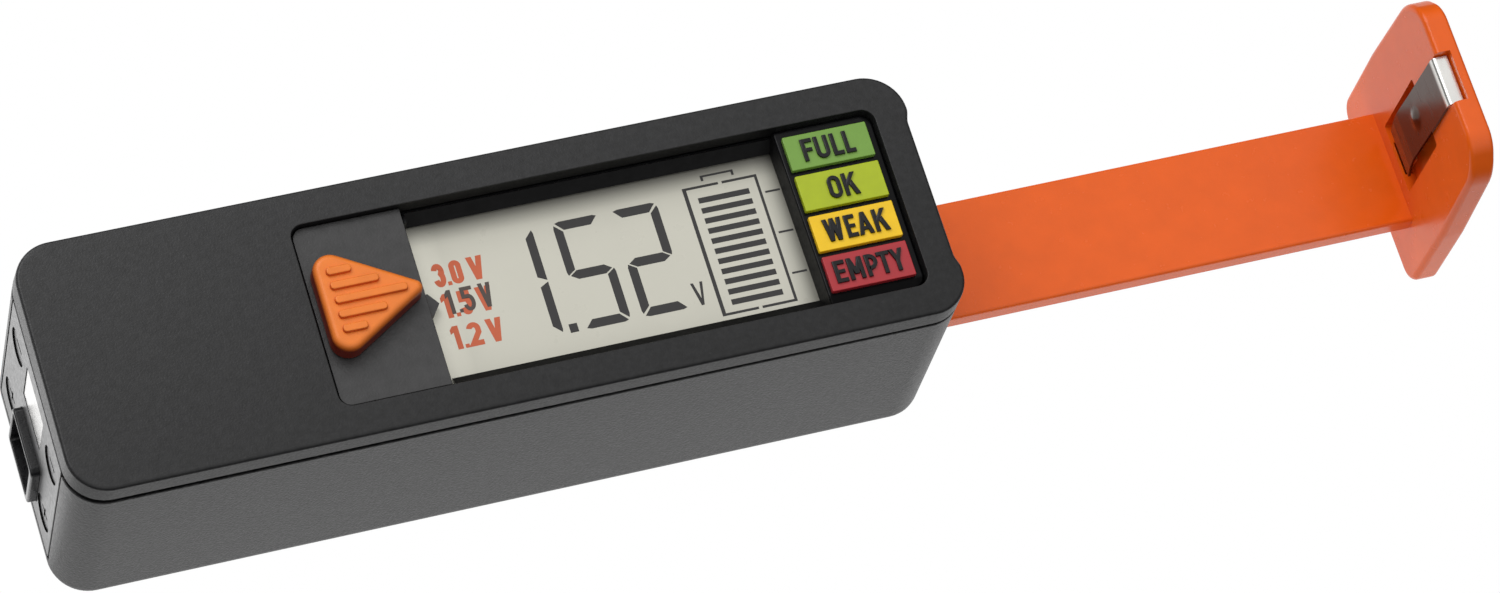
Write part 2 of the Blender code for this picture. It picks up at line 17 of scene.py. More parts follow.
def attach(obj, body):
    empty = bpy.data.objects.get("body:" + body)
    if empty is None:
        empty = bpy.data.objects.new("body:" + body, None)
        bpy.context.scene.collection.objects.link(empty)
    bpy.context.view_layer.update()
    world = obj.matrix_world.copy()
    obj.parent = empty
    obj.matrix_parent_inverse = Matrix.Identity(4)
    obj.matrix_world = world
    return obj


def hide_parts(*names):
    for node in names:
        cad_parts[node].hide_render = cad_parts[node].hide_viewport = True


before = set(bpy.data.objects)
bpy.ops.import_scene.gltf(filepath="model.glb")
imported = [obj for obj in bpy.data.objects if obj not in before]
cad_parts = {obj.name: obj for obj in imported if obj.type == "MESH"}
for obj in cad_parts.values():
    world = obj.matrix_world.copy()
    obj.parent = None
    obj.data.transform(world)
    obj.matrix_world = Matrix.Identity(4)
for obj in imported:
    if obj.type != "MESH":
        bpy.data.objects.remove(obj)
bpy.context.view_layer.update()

MM = 0.001
LENGTH = 88.6
HALF_WIDTH = 12.9
TOP = 26.2
SEAM = 23.6  # height where the cover meets the shell
SHARP_ANGLE = 34.0  # degrees; edges bent further than this stay sharp

scene = bpy.context.scene
looks = bpy.data.collections.new("looks")
scene.collection.children.link(looks)
scratch = bpy.data.collections.new("scratch")
scene.collection.children.link(scratch)


# ===========================================================================
# outlines
# ===========================================================================
def XY(u, v, w):
    """Outline u along (x), v across (y); thickness along z."""
    return Vector(((u - LENGTH / 2) * MM, v * MM, w * MM))


def YZ(u, v, w):
    """Outline u across (y), v up (z); thickness along x."""
    return XY(w, u, v)


def corner_arc(corner, back, ahead, half_angle, radius, segments):
    """Round between the unit directions back and ahead, which leave the corner."""
    reach = radius / math.tan(half_angle)
    centre = corner + (back + ahead).normalized() * (radius / math.sin(half_angle))
    start, end = corner + back * reach - centre, corner + ahead * reach - centre
    turn = start.angle_signed(end)
    return [centre + Matrix.Rotation(-turn * k / segments, 2) @ start
            for k in range(segments + 1)]


def rounded(points):
    """Closed outline; points are (u, v, radius, segments), or (u, v, 0) if sharp."""
    out = []
    for i, point in enumerate(points):
        corner = Vector(point[:2])
        if point[2] <= 0:
            out.append(corner)
            continue
        back = (Vector(points[i - 1][:2]) - corner).normalized()
        ahead = (Vector(points[(i + 1) % len(points)][:2]) - corner).normalized()
        out += corner_arc(corner, back, ahead, back.angle(ahead) / 2, *point[2:])
    return out


def rect(u0, u1, v0, v1, radius=0.0, segments=0):
    return rounded([(u, v, radius, segments)
                    for u, v in ((u0, v0), (u1, v0), (u1, v1), (u0, v1))])


def circle(u, v, radius, count):
    angles = [2 * math.pi * k / count for k in range(count)]
    return [Vector((u + radius * math.cos(a), v + radius * math.sin(a))) for a in angles]


def double_area(outline):
    """Twice the signed area; positive when the outline runs anticlockwise."""
    return sum(a.x * b.y - b.x * a.y for a, b in zip(outline, outline[1:] + outline[:1]))


def inset(outline, distance):
    """Every point moved inwards (outwards for a negative distance)."""
    if abs(distance) < 1e-9:
        return list(outline)
    sign = 1.0 if double_area(outline) > 0 else -1.0
    out = []
    for i, point in enumerate(outline):
        before = (point - outline[i - 1]).normalized()
        after = (outline[(i + 1) % len(outline)] - point).normalized()
        normal0 = Vector((-before.y, before.x)) * sign
        normal1 = Vector((-after.y, after.x)) * sign
        stretch = 1.0 / max(1.0 + normal0.dot(normal1), 0.3)
        out.append(point + (normal0 + normal1) * (stretch * distance))
    return out


def edge_up(radius, segments, height):
    """(inset, height) steps of an edge round that rises to a flat at height."""
    turns = [math.radians(90.0 * k / segments) for k in range(segments + 1)]
    return [(radius * (1 - math.cos(a)), height - radius * (1 - math.sin(a))) for a in turns]


def edge_down(radius, segments, height):
    """The same round going down to a flat at height."""
    return [(d, height + (height - w)) for d, w in edge_up(radius, segments, height)]


# ===========================================================================
# bodies
# ===========================================================================
def stack(bm, outline, steps, place, warp=None):
    """One loop of vertices for each (inset, height) step."""
    loops = []
    for distance, w in steps:
        spots = [place(p.x, p.y, w) for p in inset(outline, distance)]
        loops.append([bm.verts.new(warp(spot) if warp else spot) for spot in spots])
    return loops


def skin(bm, loops):
    for a, b in zip(loops, loops[1:]):
        for i in range(len(a)):
            j = (i + 1) % len(a)
            bm.faces.new((a[i], a[j], b[j], b[i]))


def close(bm, loops):
    bm.faces.new(loops[0])
    bm.faces.new(loops[-1])


def between(bm, outer, inner):
    """Flat face between two loops."""
    edges = []
    for loop in (outer, inner):
        for a, b in zip(loop, loop[1:] + loop[:1]):
            edges.append(bm.edges.get((a, b)) or bm.edges.new((a, b)))
    bmesh.ops.triangle_fill(bm, use_beauty=True, use_dissolve=False, edges=edges)


def smooth(mesh, angle=SHARP_ANGLE):
    mesh.shade_smooth()
    mesh.set_sharp_from_angle(angle=math.radians(angle))


def to_object(name, bm, mat=None, coll=looks, angle=SHARP_ANGLE, weld=True):
    if weld:
        bmesh.ops.remove_doubles(bm, verts=bm.verts, dist=2e-8)
    bmesh.ops.recalc_face_normals(bm, faces=bm.faces)
    mesh = bpy.data.meshes.new(name)
    bm.to_mesh(mesh)
    bm.free()
    ob = bpy.data.objects.new(name, mesh)
    coll.objects.link(ob)
    if mat is not None:
        mesh.materials.append(mat)
    smooth(mesh, angle)
    return ob


def solid(name, outline, steps, place, mat=None, coll=looks, warp=None, angle=SHARP_ANGLE):
    """Closed body: the outline repeated at each (inset, height) step."""
    bm = bmesh.new()
    loops = stack(bm, outline, steps, place, warp)
    skin(bm, loops)
    close(bm, loops)
    return to_object(name, bm, mat, coll, angle)


def hollow(name, bm, outer, inner, mat, blind=False):
    """Body between outer and inner loops: a frame, or a blind cup."""
    skin(bm, outer)
    skin(bm, inner)
    between(bm, outer[-1], inner[0])
    if blind:
        bm.faces.new(outer[0])
        bm.faces.new(inner[-1])
    else:
        between(bm, outer[0], inner[-1])
    return to_object(name, bm, mat)


def slab_steps(w0, w1, low_radius=0.0, high_radius=0.0, segments=4):
    low = edge_down(low_radius, segments, w0)[::-1] if low_radius > 0 else [(0.0, w0)]
    high = edge_up(high_radius, segments, w1) if high_radius > 0 else [(0.0, w1)]
    return low + high


def tool(outline, w0, w1, place, *rounds):
    """Slab used up by a boolean; rounds are the last arguments of slab_steps."""
    return solid("tool", outline, slab_steps(w0, w1, *rounds), place, coll=scratch)


def block(x0, x1, y0, y1, z0, z1):
    return tool(rect(x0, x1, y0, y1), z0, z1, XY)


def combine(ob, operation, others):
    """Boolean with the others, applied at once; the others are removed."""
    for other in others:
        modifier = ob.modifiers.new("b", "BOOLEAN")
        modifier.operation = operation
        modifier.solver = "EXACT"
        modifier.object = other
    bpy.context.view_layer.update()
    depsgraph = bpy.context.evaluated_depsgraph_get()
    mesh = bpy.data.meshes.new_from_object(ob.evaluated_get(depsgraph))
    mats = list(ob.data.materials)
    ob.modifiers.clear()
    old = ob.data
    ob.data = mesh
    mesh.name = ob.name
    bpy.data.meshes.remove(old)
    mesh.materials.clear()
    for mat in mats:
        mesh.materials.append(mat)
    for polygon in mesh.polygons:
        polygon.material_index = 0
    for other in others:
        bpy.data.objects.remove(other)
    bm = bmesh.new()
    bm.from_mesh(mesh)
    bmesh.ops.remove_doubles(bm, verts=bm.verts, dist=5e-8)
    bmesh.ops.dissolve_degenerate(bm, edges=bm.edges, dist=5e-8)
    bm.to_mesh(mesh)
    bm.free()
    smooth(mesh)
    return ob


def cut(ob, *others):
    return combine(ob, "DIFFERENCE", others)


def add(ob, *others):
    return combine(ob, "UNION", others)


def show(ob, body, slot, *nodes, weighted=True):
    """Tells the frame which body the piece rides and what it replaces; slot is not used."""
    if weighted:
        modifier = ob.modifiers.new("even_normals", "WEIGHTED_NORMAL")
        modifier.mode = "FACE_AREA_WITH_ANGLE"
        modifier.weight = 60
        modifier.keep_sharp = True
    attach(ob, body)
    if nodes:
        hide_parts(*nodes)


def paint(ob, mat, test):
    """Another finish for the faces whose centre (mm) and normal pass the test."""
    ob.data.materials.append(mat)
    index = len(ob.data.materials) - 1
    for polygon in ob.data.polygons:
        c = polygon.center
        if test(c.x / MM + LENGTH / 2, c.y / MM, c.z / MM, polygon.normal):
            polygon.material_index = index


# ===========================================================================
# sheet-metal strips
# ===========================================================================
def bend(points, segments=8):
    """Path through (x, z, radius) points with every inner corner rounded."""
    spots = [Vector(point[:2]) for point in points]
    out = [spots[0]]
    for i in range(1, len(spots) - 1):
        corner = spots[i]
        back, ahead = spots[i - 1] - corner, spots[i + 1] - corner
        half_angle = back.angle(ahead) / 2
        reach = min(points[i][2] / math.tan(half_angle), back.length * 0.49,
                    ahead.length * 0.49)
        out += corner_arc(corner, back.normalized(), ahead.normalized(), half_angle,
                          reach * math.tan(half_angle), segments)
    out.append(spots[-1])
    return out


def refine(path, step):
    """Path with extra points so that no piece is longer than step."""
    out = [path[0]]
    for a, b in zip(path, path[1:]):
        count = max(1, int(math.ceil((b - a).length / step)))
        out += [a.lerp(b, k / count) for k in range(1, count + 1)]
    return out


def path_directions(path, i):
    """Unit directions into and out of point i; at an end both are the same."""
    before = (path[i] - path[i - 1]).normalized() if i > 0 else None
    after = (path[i + 1] - path[i]).normalized() if i + 1 < len(path) else None
    return before or after, after or before


def leaf(name, path, mat, bump=None, half_width=2.6, thickness=0.28, across=26):
    """Bent strip.  path is in (x, z), the strip spans y.  bump is (height,
    distance of its centre along the path, radius)."""
    path = [p for i, p in enumerate(path) if i == 0 or (p - path[i - 1]).length > 1e-6]
    run = [0.0]
    for a, b in zip(path, path[1:]):
        run.append(run[-1] + (b - a).length)
    normals = []
    for i in range(len(path)):
        before, after = path_directions(path, i)
        normal = Vector((-before.y, before.x)) + Vector((-after.y, after.x))
        normals.append(normal.normalized())
    bm = bmesh.new()

    def row(i, side):
        verts = []
        for k in range(across + 1):
            y = (k / across * 2 - 1) * half_width
            lift = 0.0
            if bump:
                height, centre, radius = bump
                off = math.hypot(run[i] - centre, y) / radius
                if off < 1:
                    lift = height * (0.5 + 0.5 * math.cos(math.pi * off))
            spot = path[i] + normals[i] * (side * thickness / 2 + lift)
            verts.append(bm.verts.new(XY(spot.x, y, spot.y)))
        return verts

    a, b = [[row(i, side) for i in range(len(path))] for side in (1, -1)]
    for rows, flip in ((a, False), (b, True)):
        for row0, row1 in zip(rows, rows[1:]):
            for k in range(across):
                face = (row0[k], row0[k + 1], row1[k + 1], row1[k])
                bm.faces.new(face[::-1] if flip else face)
    for i in range(len(path) - 1):
        bm.faces.new((a[i][0], a[i + 1][0], b[i + 1][0], b[i][0]))
        bm.faces.new((a[i][-1], b[i][-1], b[i + 1][-1], a[i + 1][-1]))
    for k in range(across):
        bm.faces.new((a[0][k], b[0][k], b[0][k + 1], a[0][k + 1]))
        bm.faces.new((a[-1][k], a[-1][k + 1], b[-1][k + 1], b[-1][k]))
    return to_object(name, bm, mat, angle=40.0)


# ===========================================================================
# printed shapes and letters
# ===========================================================================
def prisms(name, outlines, z0, z1, mat):
    """Several flat shapes of equal height as one piece."""
    bm = bmesh.new()
    for outline in outlines:
        loops = [[bm.verts.new(XY(u, v, z)) for u, v in outline] for z in (z0, z1)]
        skin(bm, loops)
        close(bm, loops)
    return to_object(name, bm, mat, angle=30.0)


def oval(cx, cy, rx, ry, start, end, n):
    """Part of an ellipse between two angles in degrees."""
    angles = [math.radians(start + (end - start) * k / n) for k in range(n + 1)]
    return [(cx + rx * math.cos(a), cy + ry * math.sin(a)) for a in angles]


def stroke(path, width):
    """Outline of a pen line along a path, with mitred bends."""
    points = [Vector(p) for p in path]
    one_side, other_side = [], []
    for i, point in enumerate(points):
        before, after = path_directions(points, i)
        normal0 = Vector((-before.y, before.x))
        normal1 = Vector((-after.y, after.x))
        mitre = (normal0 + normal1) / max(1 + normal0.dot(normal1), 0.4)
        one_side.append(point + mitre * width / 2)
        other_side.append(point - mitre * width / 2)
    return one_side + other_side[::-1]


def diagonal(xa, ya, xb, yb, half):
    return [(xa - half, ya), (xa + half, ya), (xb + half, yb), (xb - half, yb)]


def bar(x0, x1, y0, y1):
    return [(x0, y0), (x1, y0), (x1, y1), (x0, y1)]


def glyph(char, x0, x1, y0, y1, pen):
    """Pieces of a condensed sans letter: outlines, or (outer, inner) rings."""
    half = pen / 2
    left, right, low, high = x0 + half, x1 - half, y0 + half, y1 - half
    cx, cy = (left + right) / 2, (y0 + y1) / 2
    wide, tall = x1 - x0, y1 - y0
    bow = (right - left) / 2
    slant = pen * 0.53
    if char == ".":
        return [bar(x0, x1, y0, y0 + wide)]
    if char in "O0":
        def loop(grow):
            r = bow + grow
            return oval(cx, high - bow, r, r, 0, 180, 16) + oval(cx, low + bow, r, r, 180, 360, 16)
        return [(loop(half), loop(-half))]
    if char == "F":
        return [stroke([(left, y0), (left, high), (x1, high)], pen),
                bar(left, x1 - wide * 0.12, cy - half * 0.9, cy + half * 0.9)]
    if char == "E":
        return [stroke([(x1, high), (left, high), (left, low), (x1, low)], pen),
                bar(left, x1 - wide * 0.08, cy - half * 0.9, cy + half * 0.9)]
    if char == "L":
        return [stroke([(left, y1), (left, low), (x1, low)], pen)]
    if char == "T":
        return [bar(x0, x1, y1 - pen, y1), bar(cx - half, cx + half, y0, high)]
    if char == "U":
        return [stroke([(left, y1)] + oval(cx, low + bow, bow, bow, 180, 360, 16)
                       + [(right, y1)], pen)]
    if char == "P":
        r = tall * 0.27
        return [stroke([(left, y0), (left, high), (right - r, high)]
                       + oval(right - r, high - r, r, r, 90, -90, 12)
                       + [(left, high - 2 * r)], pen)]
    if char == "K":
        joint = left + (x1 - left) * 0.34
        return [bar(x0, x0 + pen, y0, y1),
                [(left, y0 + tall * 0.26), (left, y0 + tall * 0.54), (x1 - pen * 1.25, y1),
                 (x1, y1)],
                [(joint - pen * 0.1, y0 + tall * 0.48), (joint + pen * 0.7, y0 + tall * 0.66),
                 (x1 + pen * 0.1, y0), (x1 - pen * 1.1, y0)]]
    if char == "V":
        return [diagonal(x0 + slant, y1, cx, y0, slant), diagonal(x1 - slant, y1, cx, y0, slant)]
    if char == "W":
        foot0, foot1 = x0 + wide * 0.29, x1 - wide * 0.29
        return [diagonal(top, y1, foot, y0, slant)
                for top, foot in ((x0 + slant, foot0), (cx, foot0), (cx, foot1),
                                  (x1 - slant, foot1))]
    if char == "A":
        return [diagonal(cx, y1, x0 + slant, y0, slant), diagonal(cx, y1, x1 - slant, y0, slant),
                bar(x0 + wide * 0.24, x1 - wide * 0.24, y0 + tall * 0.2,
                    y0 + tall * 0.2 + pen * 0.85)]
    if char == "M":
        return [bar(x0, x0 + pen, y0, y1), bar(x1 - pen, x1, y0, y1),
                diagonal(x0 + slant, y1, cx, y0 + tall * 0.25, slant),
                diagonal(x1 - slant, y1, cx, y0 + tall * 0.25, slant)]
    if char == "Y":
        fork = cy - pen * 0.2
        return [diagonal(x0 + slant, y1, cx, fork, slant),
                diagonal(x1 - slant, y1, cx, fork, slant), bar(cx - half, cx + half, y0, cy)]
    if char == "1":
        return [bar(x1 - pen, x1, y0, y1),
                [(x0, y1 - tall * 0.34), (x1 - half, y1 - tall * 0.2), (x1 - half, y1),
                 (x1 - pen, y1), (x0, y1 - tall * 0.15)]]
    if char == "5":
        r = tall * 0.27
        neck = low + 2 * r - 0.02
        return [stroke([(x1 - pen * 0.1, high), (left, high), (left, neck), (cx, neck)]
                       + oval(cx, low + r, bow, r, 85, -90, 12)
                       + oval(cx, low + r, bow, r, -100, -165, 6), pen)]
    if char == "2":
        return [stroke(oval(cx, high - bow, bow, bow, 170, -10, 14)
                       + [(right, high - tall * 0.32), (left + 0.05, low), (x1, low)], pen)]
    if char == "3":
        upper, lower = tall * 0.235, tall * 0.27
        return [stroke(oval(cx, high - upper, bow, upper, 165, -80, 16), pen),
                stroke(oval(cx, low + lower - 0.03, bow, lower, 85, -165, 16), pen)]
    raise ValueError(char)


def letters(name, glyphs, y0, y1, z0, z1, pen, mat, radius=0.0):
    """A word as one piece; glyphs are (letter, x0, x1)."""
    bm = bmesh.new()
    parts = [part for char, x0, x1 in glyphs for part in glyph(char, x0, x1, y0, y1, pen)]
    for level, part in enumerate(parts):
        # crossing strokes end at slightly different heights
        top = z1 + 0.0015 * (level % 4)
        steps = [(0.0, z0), (0.0, top)]
        if radius:
            steps = [(0.0, z0), (0.0, top - radius), (radius * 0.3, top - radius * 0.3),
                     (radius, top)]
        ring = isinstance(part, tuple)
        loops = stack(bm, [Vector(p) for p in (part[0] if ring else part)], steps, XY)
        if ring:
            hole = [Vector(p) for p in part[1]]
            loops += stack(bm, hole, [(-d, w) for d, w in steps[::-1]], XY)
            skin(bm, loops + [loops[0]])
        else:
            skin(bm, loops)
            close(bm, loops)
    return to_object(name, bm, mat, angle=30.0, weld=False)


# ===========================================================================
# shader helpers
# ===========================================================================
def add_node(tree, kind, inputs=None, **props):
    """New shader node; each input gets a plain value or a link from a socket."""
    node = tree.nodes.new(kind)
    for key, value in props.items():
        setattr(node, key, value)
    for key, value in (inputs or {}).items():
        if isinstance(value, bpy.types.NodeSocket):
            tree.links.new(value, node.inputs[key])
        else:
            node.inputs[key].default_value = value
    return node


def calc(tree, operation, *values):
    return add_node(tree, "ShaderNodeMath", dict(enumerate(values)),
                    operation=operation).outputs[0]


def map_range(tree, value, from_min, from_max, to_min=0.0, to_max=1.0, **props):
    return add_node(tree, "ShaderNodeMapRange",
                    {"Value": value, "From Min": from_min, "From Max": from_max,
                     "To Min": to_min, "To Max": to_max}, **props).outputs["Result"]


def mix_color(tree, factor, a, b, blend="MIX"):
    # sockets 6 and 7 are the colour inputs A and B, output 2 the colour
    return add_node(tree, "ShaderNodeMix", {0: factor, 6: a, 7: b}, data_type="RGBA",
                    blend_type=blend).outputs[2]


def coordinates(tree, kind="Object"):
    """X, Y and Z outputs of a coordinate."""
    source = add_node(tree, "ShaderNodeTexCoord").outputs[kind]
    return add_node(tree, "ShaderNodeSeparateXYZ", {0: source}).outputs


def grey_ramp(tree, value, stops, **props):
    """Colour ramp through (position, grey) stops; they start at 0 and end at 1."""
    node = add_node(tree, "ShaderNodeValToRGB", {"Fac": value})
    ramp = node.color_ramp
    for key, setting in props.items():
        setattr(ramp, key, setting)
    for element, (position, grey) in zip(ramp.elements, (stops[0], stops[-1])):
        element.position = position
        element.color = (grey, grey, grey, 1.0)
    for position, grey in stops[1:-1]:
        ramp.elements.new(position).color = (grey, grey, grey, 1.0)
    return node.outputs["Color"]


def principled(mat):
    return mat.node_tree.nodes["Principled BSDF"].inputs


# ===========================================================================
# finishes
# ===========================================================================
FINISH = {}


def srgb(*channels):
    def linear(c):
        c /= 255.0
        return c / 12.92 if c <= 0.04045 else ((c + 0.055) / 1.055) ** 2.4
    return tuple(linear(c) for c in channels)


def finish(name, color, rough=0.45, metal=0.0, grain=0.22, relief=0.25, mottle=0.06,
           patch=2.5, rough_var=0.06, spec=0.5, stretch=None, scuff=0.0, ior=1.5):
    """Material with grain (bump), cloudy colour and roughness change, and
    light scuffs.  grain and patch are sizes in millimetres."""
    mat = bpy.data.materials.new(name)
    mat.use_nodes = True
    tree = mat.node_tree
    surface = principled(mat)
    plain = add_node(tree, "ShaderNodeTexCoord").outputs["Object"]
    source = plain
    if stretch:
        source = add_node(tree, "ShaderNodeMapping",
                          {"Vector": plain, "Scale": stretch}).outputs["Vector"]

    def noise(vector, size, detail, roughness=0.55):
        return add_node(tree, "ShaderNodeTexNoise",
                        {"Vector": vector, "Scale": 1000.0 / size, "Detail": detail,
                         "Roughness": roughness}).outputs["Fac"]

    fine = noise(source, grain, 2.0)
    level = map_range(tree, noise(source, patch, 4.0), 0.3, 0.7, 1.0 - mottle, 1.0 + mottle)
    grey = add_node(tree, "ShaderNodeCombineColor", {0: level, 1: level, 2: level})
    tone = mix_color(tree, 1.0, (*color, 1.0), grey.outputs[0], "MULTIPLY")
    if scuff > 0:
        mask = map_range(tree, noise(plain, 0.9, 6.0, 0.75), 0.62, 0.74, 0.0, scuff)
        worn = tuple(min(1.0, c * 1.5 + 0.02) for c in color)
        tone = mix_color(tree, mask, tone, (*worn, 1.0))
    tree.links.new(tone, surface["Base Color"])
    roughness = map_range(tree, noise(source, patch * 0.4, 3.0), 0.3, 0.7,
                          rough - rough_var, rough + rough_var)
    tree.links.new(roughness, surface["Roughness"])
    surface["Metallic"].default_value = metal
    surface["Specular IOR Level"].default_value = spec
    surface["IOR"].default_value = ior
    bump = add_node(tree, "ShaderNodeBump", {"Strength": relief, "Height": fine,
                                             "Distance": grain * MM * 0.35})
    tree.links.new(bump.outputs["Normal"], surface["Normal"])
    mat.diffuse_color = (*color, 1.0)
    FINISH[name] = mat


HOUSING_GREY = (0.0125, 0.0125, 0.0130)
NICKEL = (0.78, 0.77, 0.74)
ZINC = (0.62, 0.62, 0.60)

finish("cover_plastic", HOUSING_GREY, rough=0.42, relief=0.36, mottle=0.35, patch=0.6,
       scuff=0.4, spec=0.38)
finish("shell_plastic", HOUSING_GREY, rough=0.42, grain=0.24, relief=0.8, mottle=0.35,
       patch=0.6, scuff=0.5, spec=0.53)
finish("end_plastic", (0.021, 0.021, 0.022), rough=0.36, grain=0.25, relief=0.2, mottle=0.2,
       patch=1.4, spec=0.75, scuff=0.15)
finish("panel_plastic", (0.024, 0.0235, 0.024), rough=0.42, grain=0.24, mottle=0.25,
       patch=1.2, scuff=0.2, spec=0.58)
finish("bezel_plastic", (0.0035, 0.0035, 0.0042), rough=0.22, grain=0.3, relief=0.06,
       mottle=0.3, patch=1.5, spec=0.4, ior=1.3)
finish("collar_plastic", (0.006, 0.006, 0.007), rough=0.3, grain=0.3, relief=0.12,
       mottle=0.3, patch=1.0, spec=0.45)
# dark, dull finish painted on the well's walls and slopes as their shade
finish("well_painted_shade", (0.0058, 0.0058, 0.0062), rough=0.5, grain=0.3, relief=0.1,
       mottle=0.3, patch=1.0, spec=0.22)
finish("groove_shade", (0.003, 0.003, 0.003), rough=0.6, grain=0.3, relief=0.1, mottle=0.3,
       patch=1.0, spec=0.1)
# darker copy of the knob orange, painted on the ribs' shaded flanks
finish("knob_rib_painted_shade", srgb(204, 88, 30), spec=0.3, relief=0.1, mottle=0.05, patch=1.6)
finish("arm_plastic", srgb(234, 96, 18), rough=0.24, spec=0.36, grain=0.35, relief=0.05,
       mottle=0.04, patch=3.0, rough_var=0.04)
finish("knob_plastic", srgb(235, 126, 44), rough=0.4, spec=0.4, relief=0.12, mottle=0.05,
       patch=1.6)
finish("nickel", NICKEL, rough=0.22, metal=1.0, grain=0.2, relief=0.03, mottle=0.05,
       patch=1.2, stretch=(0.25, 1.0, 1.0), rough_var=0.05)
finish("contact_nickel", (0.44, 0.435, 0.425), rough=0.26, metal=1.0, grain=0.2,
       relief=0.05, patch=1.0, rough_var=0.05)
# nickel for the arm leaf; further down it gets a painted dark reflection
finish("nickel_painted_reflection", NICKEL, rough=0.24, metal=1.0, grain=0.2, relief=0.03, mottle=0.05,
       patch=1.2, stretch=(1.0, 0.25, 1.0), rough_var=0.05)
finish("brass", (0.78, 0.57, 0.27), rough=0.3, metal=1.0, grain=0.2, relief=0.08,
       mottle=0.1, patch=1.5, rough_var=0.08)
finish("lcd_face", srgb(203, 201, 188), rough=0.30, grain=0.12, relief=0.02, mottle=0.012,
       patch=5.0, spec=0.35, rough_var=0.03)
finish("lcd_segment", srgb(58, 57, 57), rough=0.35, grain=0.12, relief=0.02, mottle=0.03,
       patch=1.0, spec=0.25, rough_var=0.03)
for name, color in (("lcd_orange_print", srgb(196, 100, 70)),
                    ("lcd_dark_print", srgb(84, 76, 72))):
    finish(name, color, rough=0.4, grain=0.15, relief=0.02, mottle=0.03, patch=1.0, spec=0.2)
finish("letter_black", (0.006, 0.006, 0.007), rough=0.22, grain=0.2, relief=0.05,
       mottle=0.3, patch=0.8, spec=0.3)
for name, color in (("tile_green", srgb(114, 156, 62)), ("tile_lime", srgb(168, 184, 12)),
                    ("tile_yellow", srgb(242, 196, 8)), ("tile_red", srgb(170, 38, 46))):
    finish(name, color, rough=0.35, grain=0.2, relief=0.06, mottle=0.04, patch=1.5)
finish("solder_mask", (0.02, 0.13, 0.045), rough=0.4, grain=0.4, relief=0.15, mottle=0.15,
       patch=2.0)
finish("epoxy", (0.008, 0.008, 0.008), rough=0.22, grain=0.6, relief=0.1, mottle=0.2,
       patch=2.0)
finish("carrier_plastic", ZINC, rough=0.5, grain=0.3, relief=0.15, mottle=0.04, patch=3.0)
finish("elastomer_rubber", (0.28, 0.28, 0.30), rough=0.7, grain=0.3, relief=0.3, mottle=0.1,
       patch=1.0)
finish("ferrite_core", (0.03, 0.03, 0.032), rough=0.6, grain=0.25, relief=0.4, mottle=0.2,
       patch=1.0)
finish("capacitor_sleeve", (0.02, 0.03, 0.09), rough=0.3, grain=0.4, relief=0.08,
       mottle=0.1, patch=2.0)
finish("resistor_ceramic", (0.45, 0.30, 0.17), rough=0.55, grain=0.25, mottle=0.1)
finish("wire_insulation", (0.55, 0.02, 0.02), rough=0.4, grain=0.3, relief=0.12, mottle=0.1)
finish("zinc", ZINC, rough=0.32, metal=1.0, grain=0.2, relief=0.1, mottle=0.1, patch=1.0)


def paint_shade_below(mat, color, z_clear, z_dark):
    """Painted shade and dark reflection: the tone turns to color below z_clear (mm), fully at
    z_dark.
    """
    tree = mat.node_tree
    base = principled(mat)["Base Color"]
    depth = map_range(tree, coordinates(tree)["Z"], z_clear * MM, z_dark * MM)
    tree.links.new(mix_color(tree, depth, base.links[0].from_socket, (*color, 1.0)), base)


def scale_look(mat, factor, sheen=None):
    """Multiplies the tone, and the sheen if given, by a socket's value."""
    tree = mat.node_tree
    base = principled(mat)["Base Color"]
    scaled = add_node(tree, "ShaderNodeVectorMath", operation="SCALE",
                      inputs={0: base.links[0].from_socket, "Scale": factor})
    tree.links.new(scaled.outputs["Vector"], base)
    if sheen is not None:
        level = principled(mat)["Specular IOR Level"]
        before = level.links[0].from_socket if level.links else sheen
        tree.links.new(calc(tree, "MULTIPLY", factor, before), level)


def drift(mat, slope, sheen):
    """Painted light and shade: sheen and tone change evenly with place; slope is the change per
    metre.
    """
    tree = mat.node_tree
    place = add_node(tree, "ShaderNodeTexCoord").outputs["Object"]
    along = add_node(tree, "ShaderNodeVectorMath", {0: place, 1: slope},
                     operation="DOT_PRODUCT")
    scale_look(mat, calc(tree, "ADD", along.outputs["Value"], 1.0), sheen)


def shade(mat, axis, stops, sheen=None):
    """Tone, and sheen if given, follow (mm, factor) stops along an axis; x from
    the left end.  Stands for the soft shadow and glow at the well's walls."""
    tree = mat.node_tree
    low, high = stops[0][0], stops[-1][0]
    shift = LENGTH / 2 if axis == "X" else 0.0
    place = map_range(tree, coordinates(tree)[axis], (low - shift) * MM, (high - shift) * MM)
    # the ramp holds half the factor, so that factors above 1 fit in it
    ramp = grey_ramp(tree, place, [((at - low) / (high - low), f / 2) for at, f in stops])
    scale_look(mat, calc(tree, "MULTIPLY", ramp, 2.0), sheen)


# painted dark reflection on the arm leaf's front, below its top bend
paint_shade_below(FINISH["nickel_painted_reflection"], color=(0.085, 0.057, 0.048), z_clear=25.75, z_dark=25.2)
# painted shade on the knob's sides, darker towards its foot
paint_shade_below(FINISH["knob_plastic"], color=(0.15, 0.009, 0.001), z_clear=27.75, z_dark=26.95)
# painted shade: tone and sheen darker towards the right end and the near side, lighter opposite
drift(FINISH["cover_plastic"], slope=(-1.7, 8.5, 0.0), sheen=0.38)

# stops are (millimetres along the axis, factor)
shade(FINISH["lcd_face"], "X", [(38.2, 1.5), (38.9, 1.3), (39.6, 1.15), (40.8, 1.0),
                                (72.9, 1.0), (73.8, 0.82), (74.2, 0.68), (74.8, 0.42)])
shade(FINISH["lcd_face"], "Y", [(5.8, 1.0), (6.3, 0.95), (6.9, 0.76), (7.4, 0.58),
                                (7.9, 0.36), (8.4, 0.22)])
shade(FINISH["bezel_plastic"], "X", [(83.9, 1.0), (84.3, 0.75), (85.0, 0.9)], sheen=0.4)
shade(FINISH["bezel_plastic"], "Y", [(-9.3, 0.3), (-8.6, 0.35), (-8.3, 1.0), (8.3, 1.0),
                                     (8.6, 0.85), (9.3, 1.0)], sheen=0.4)

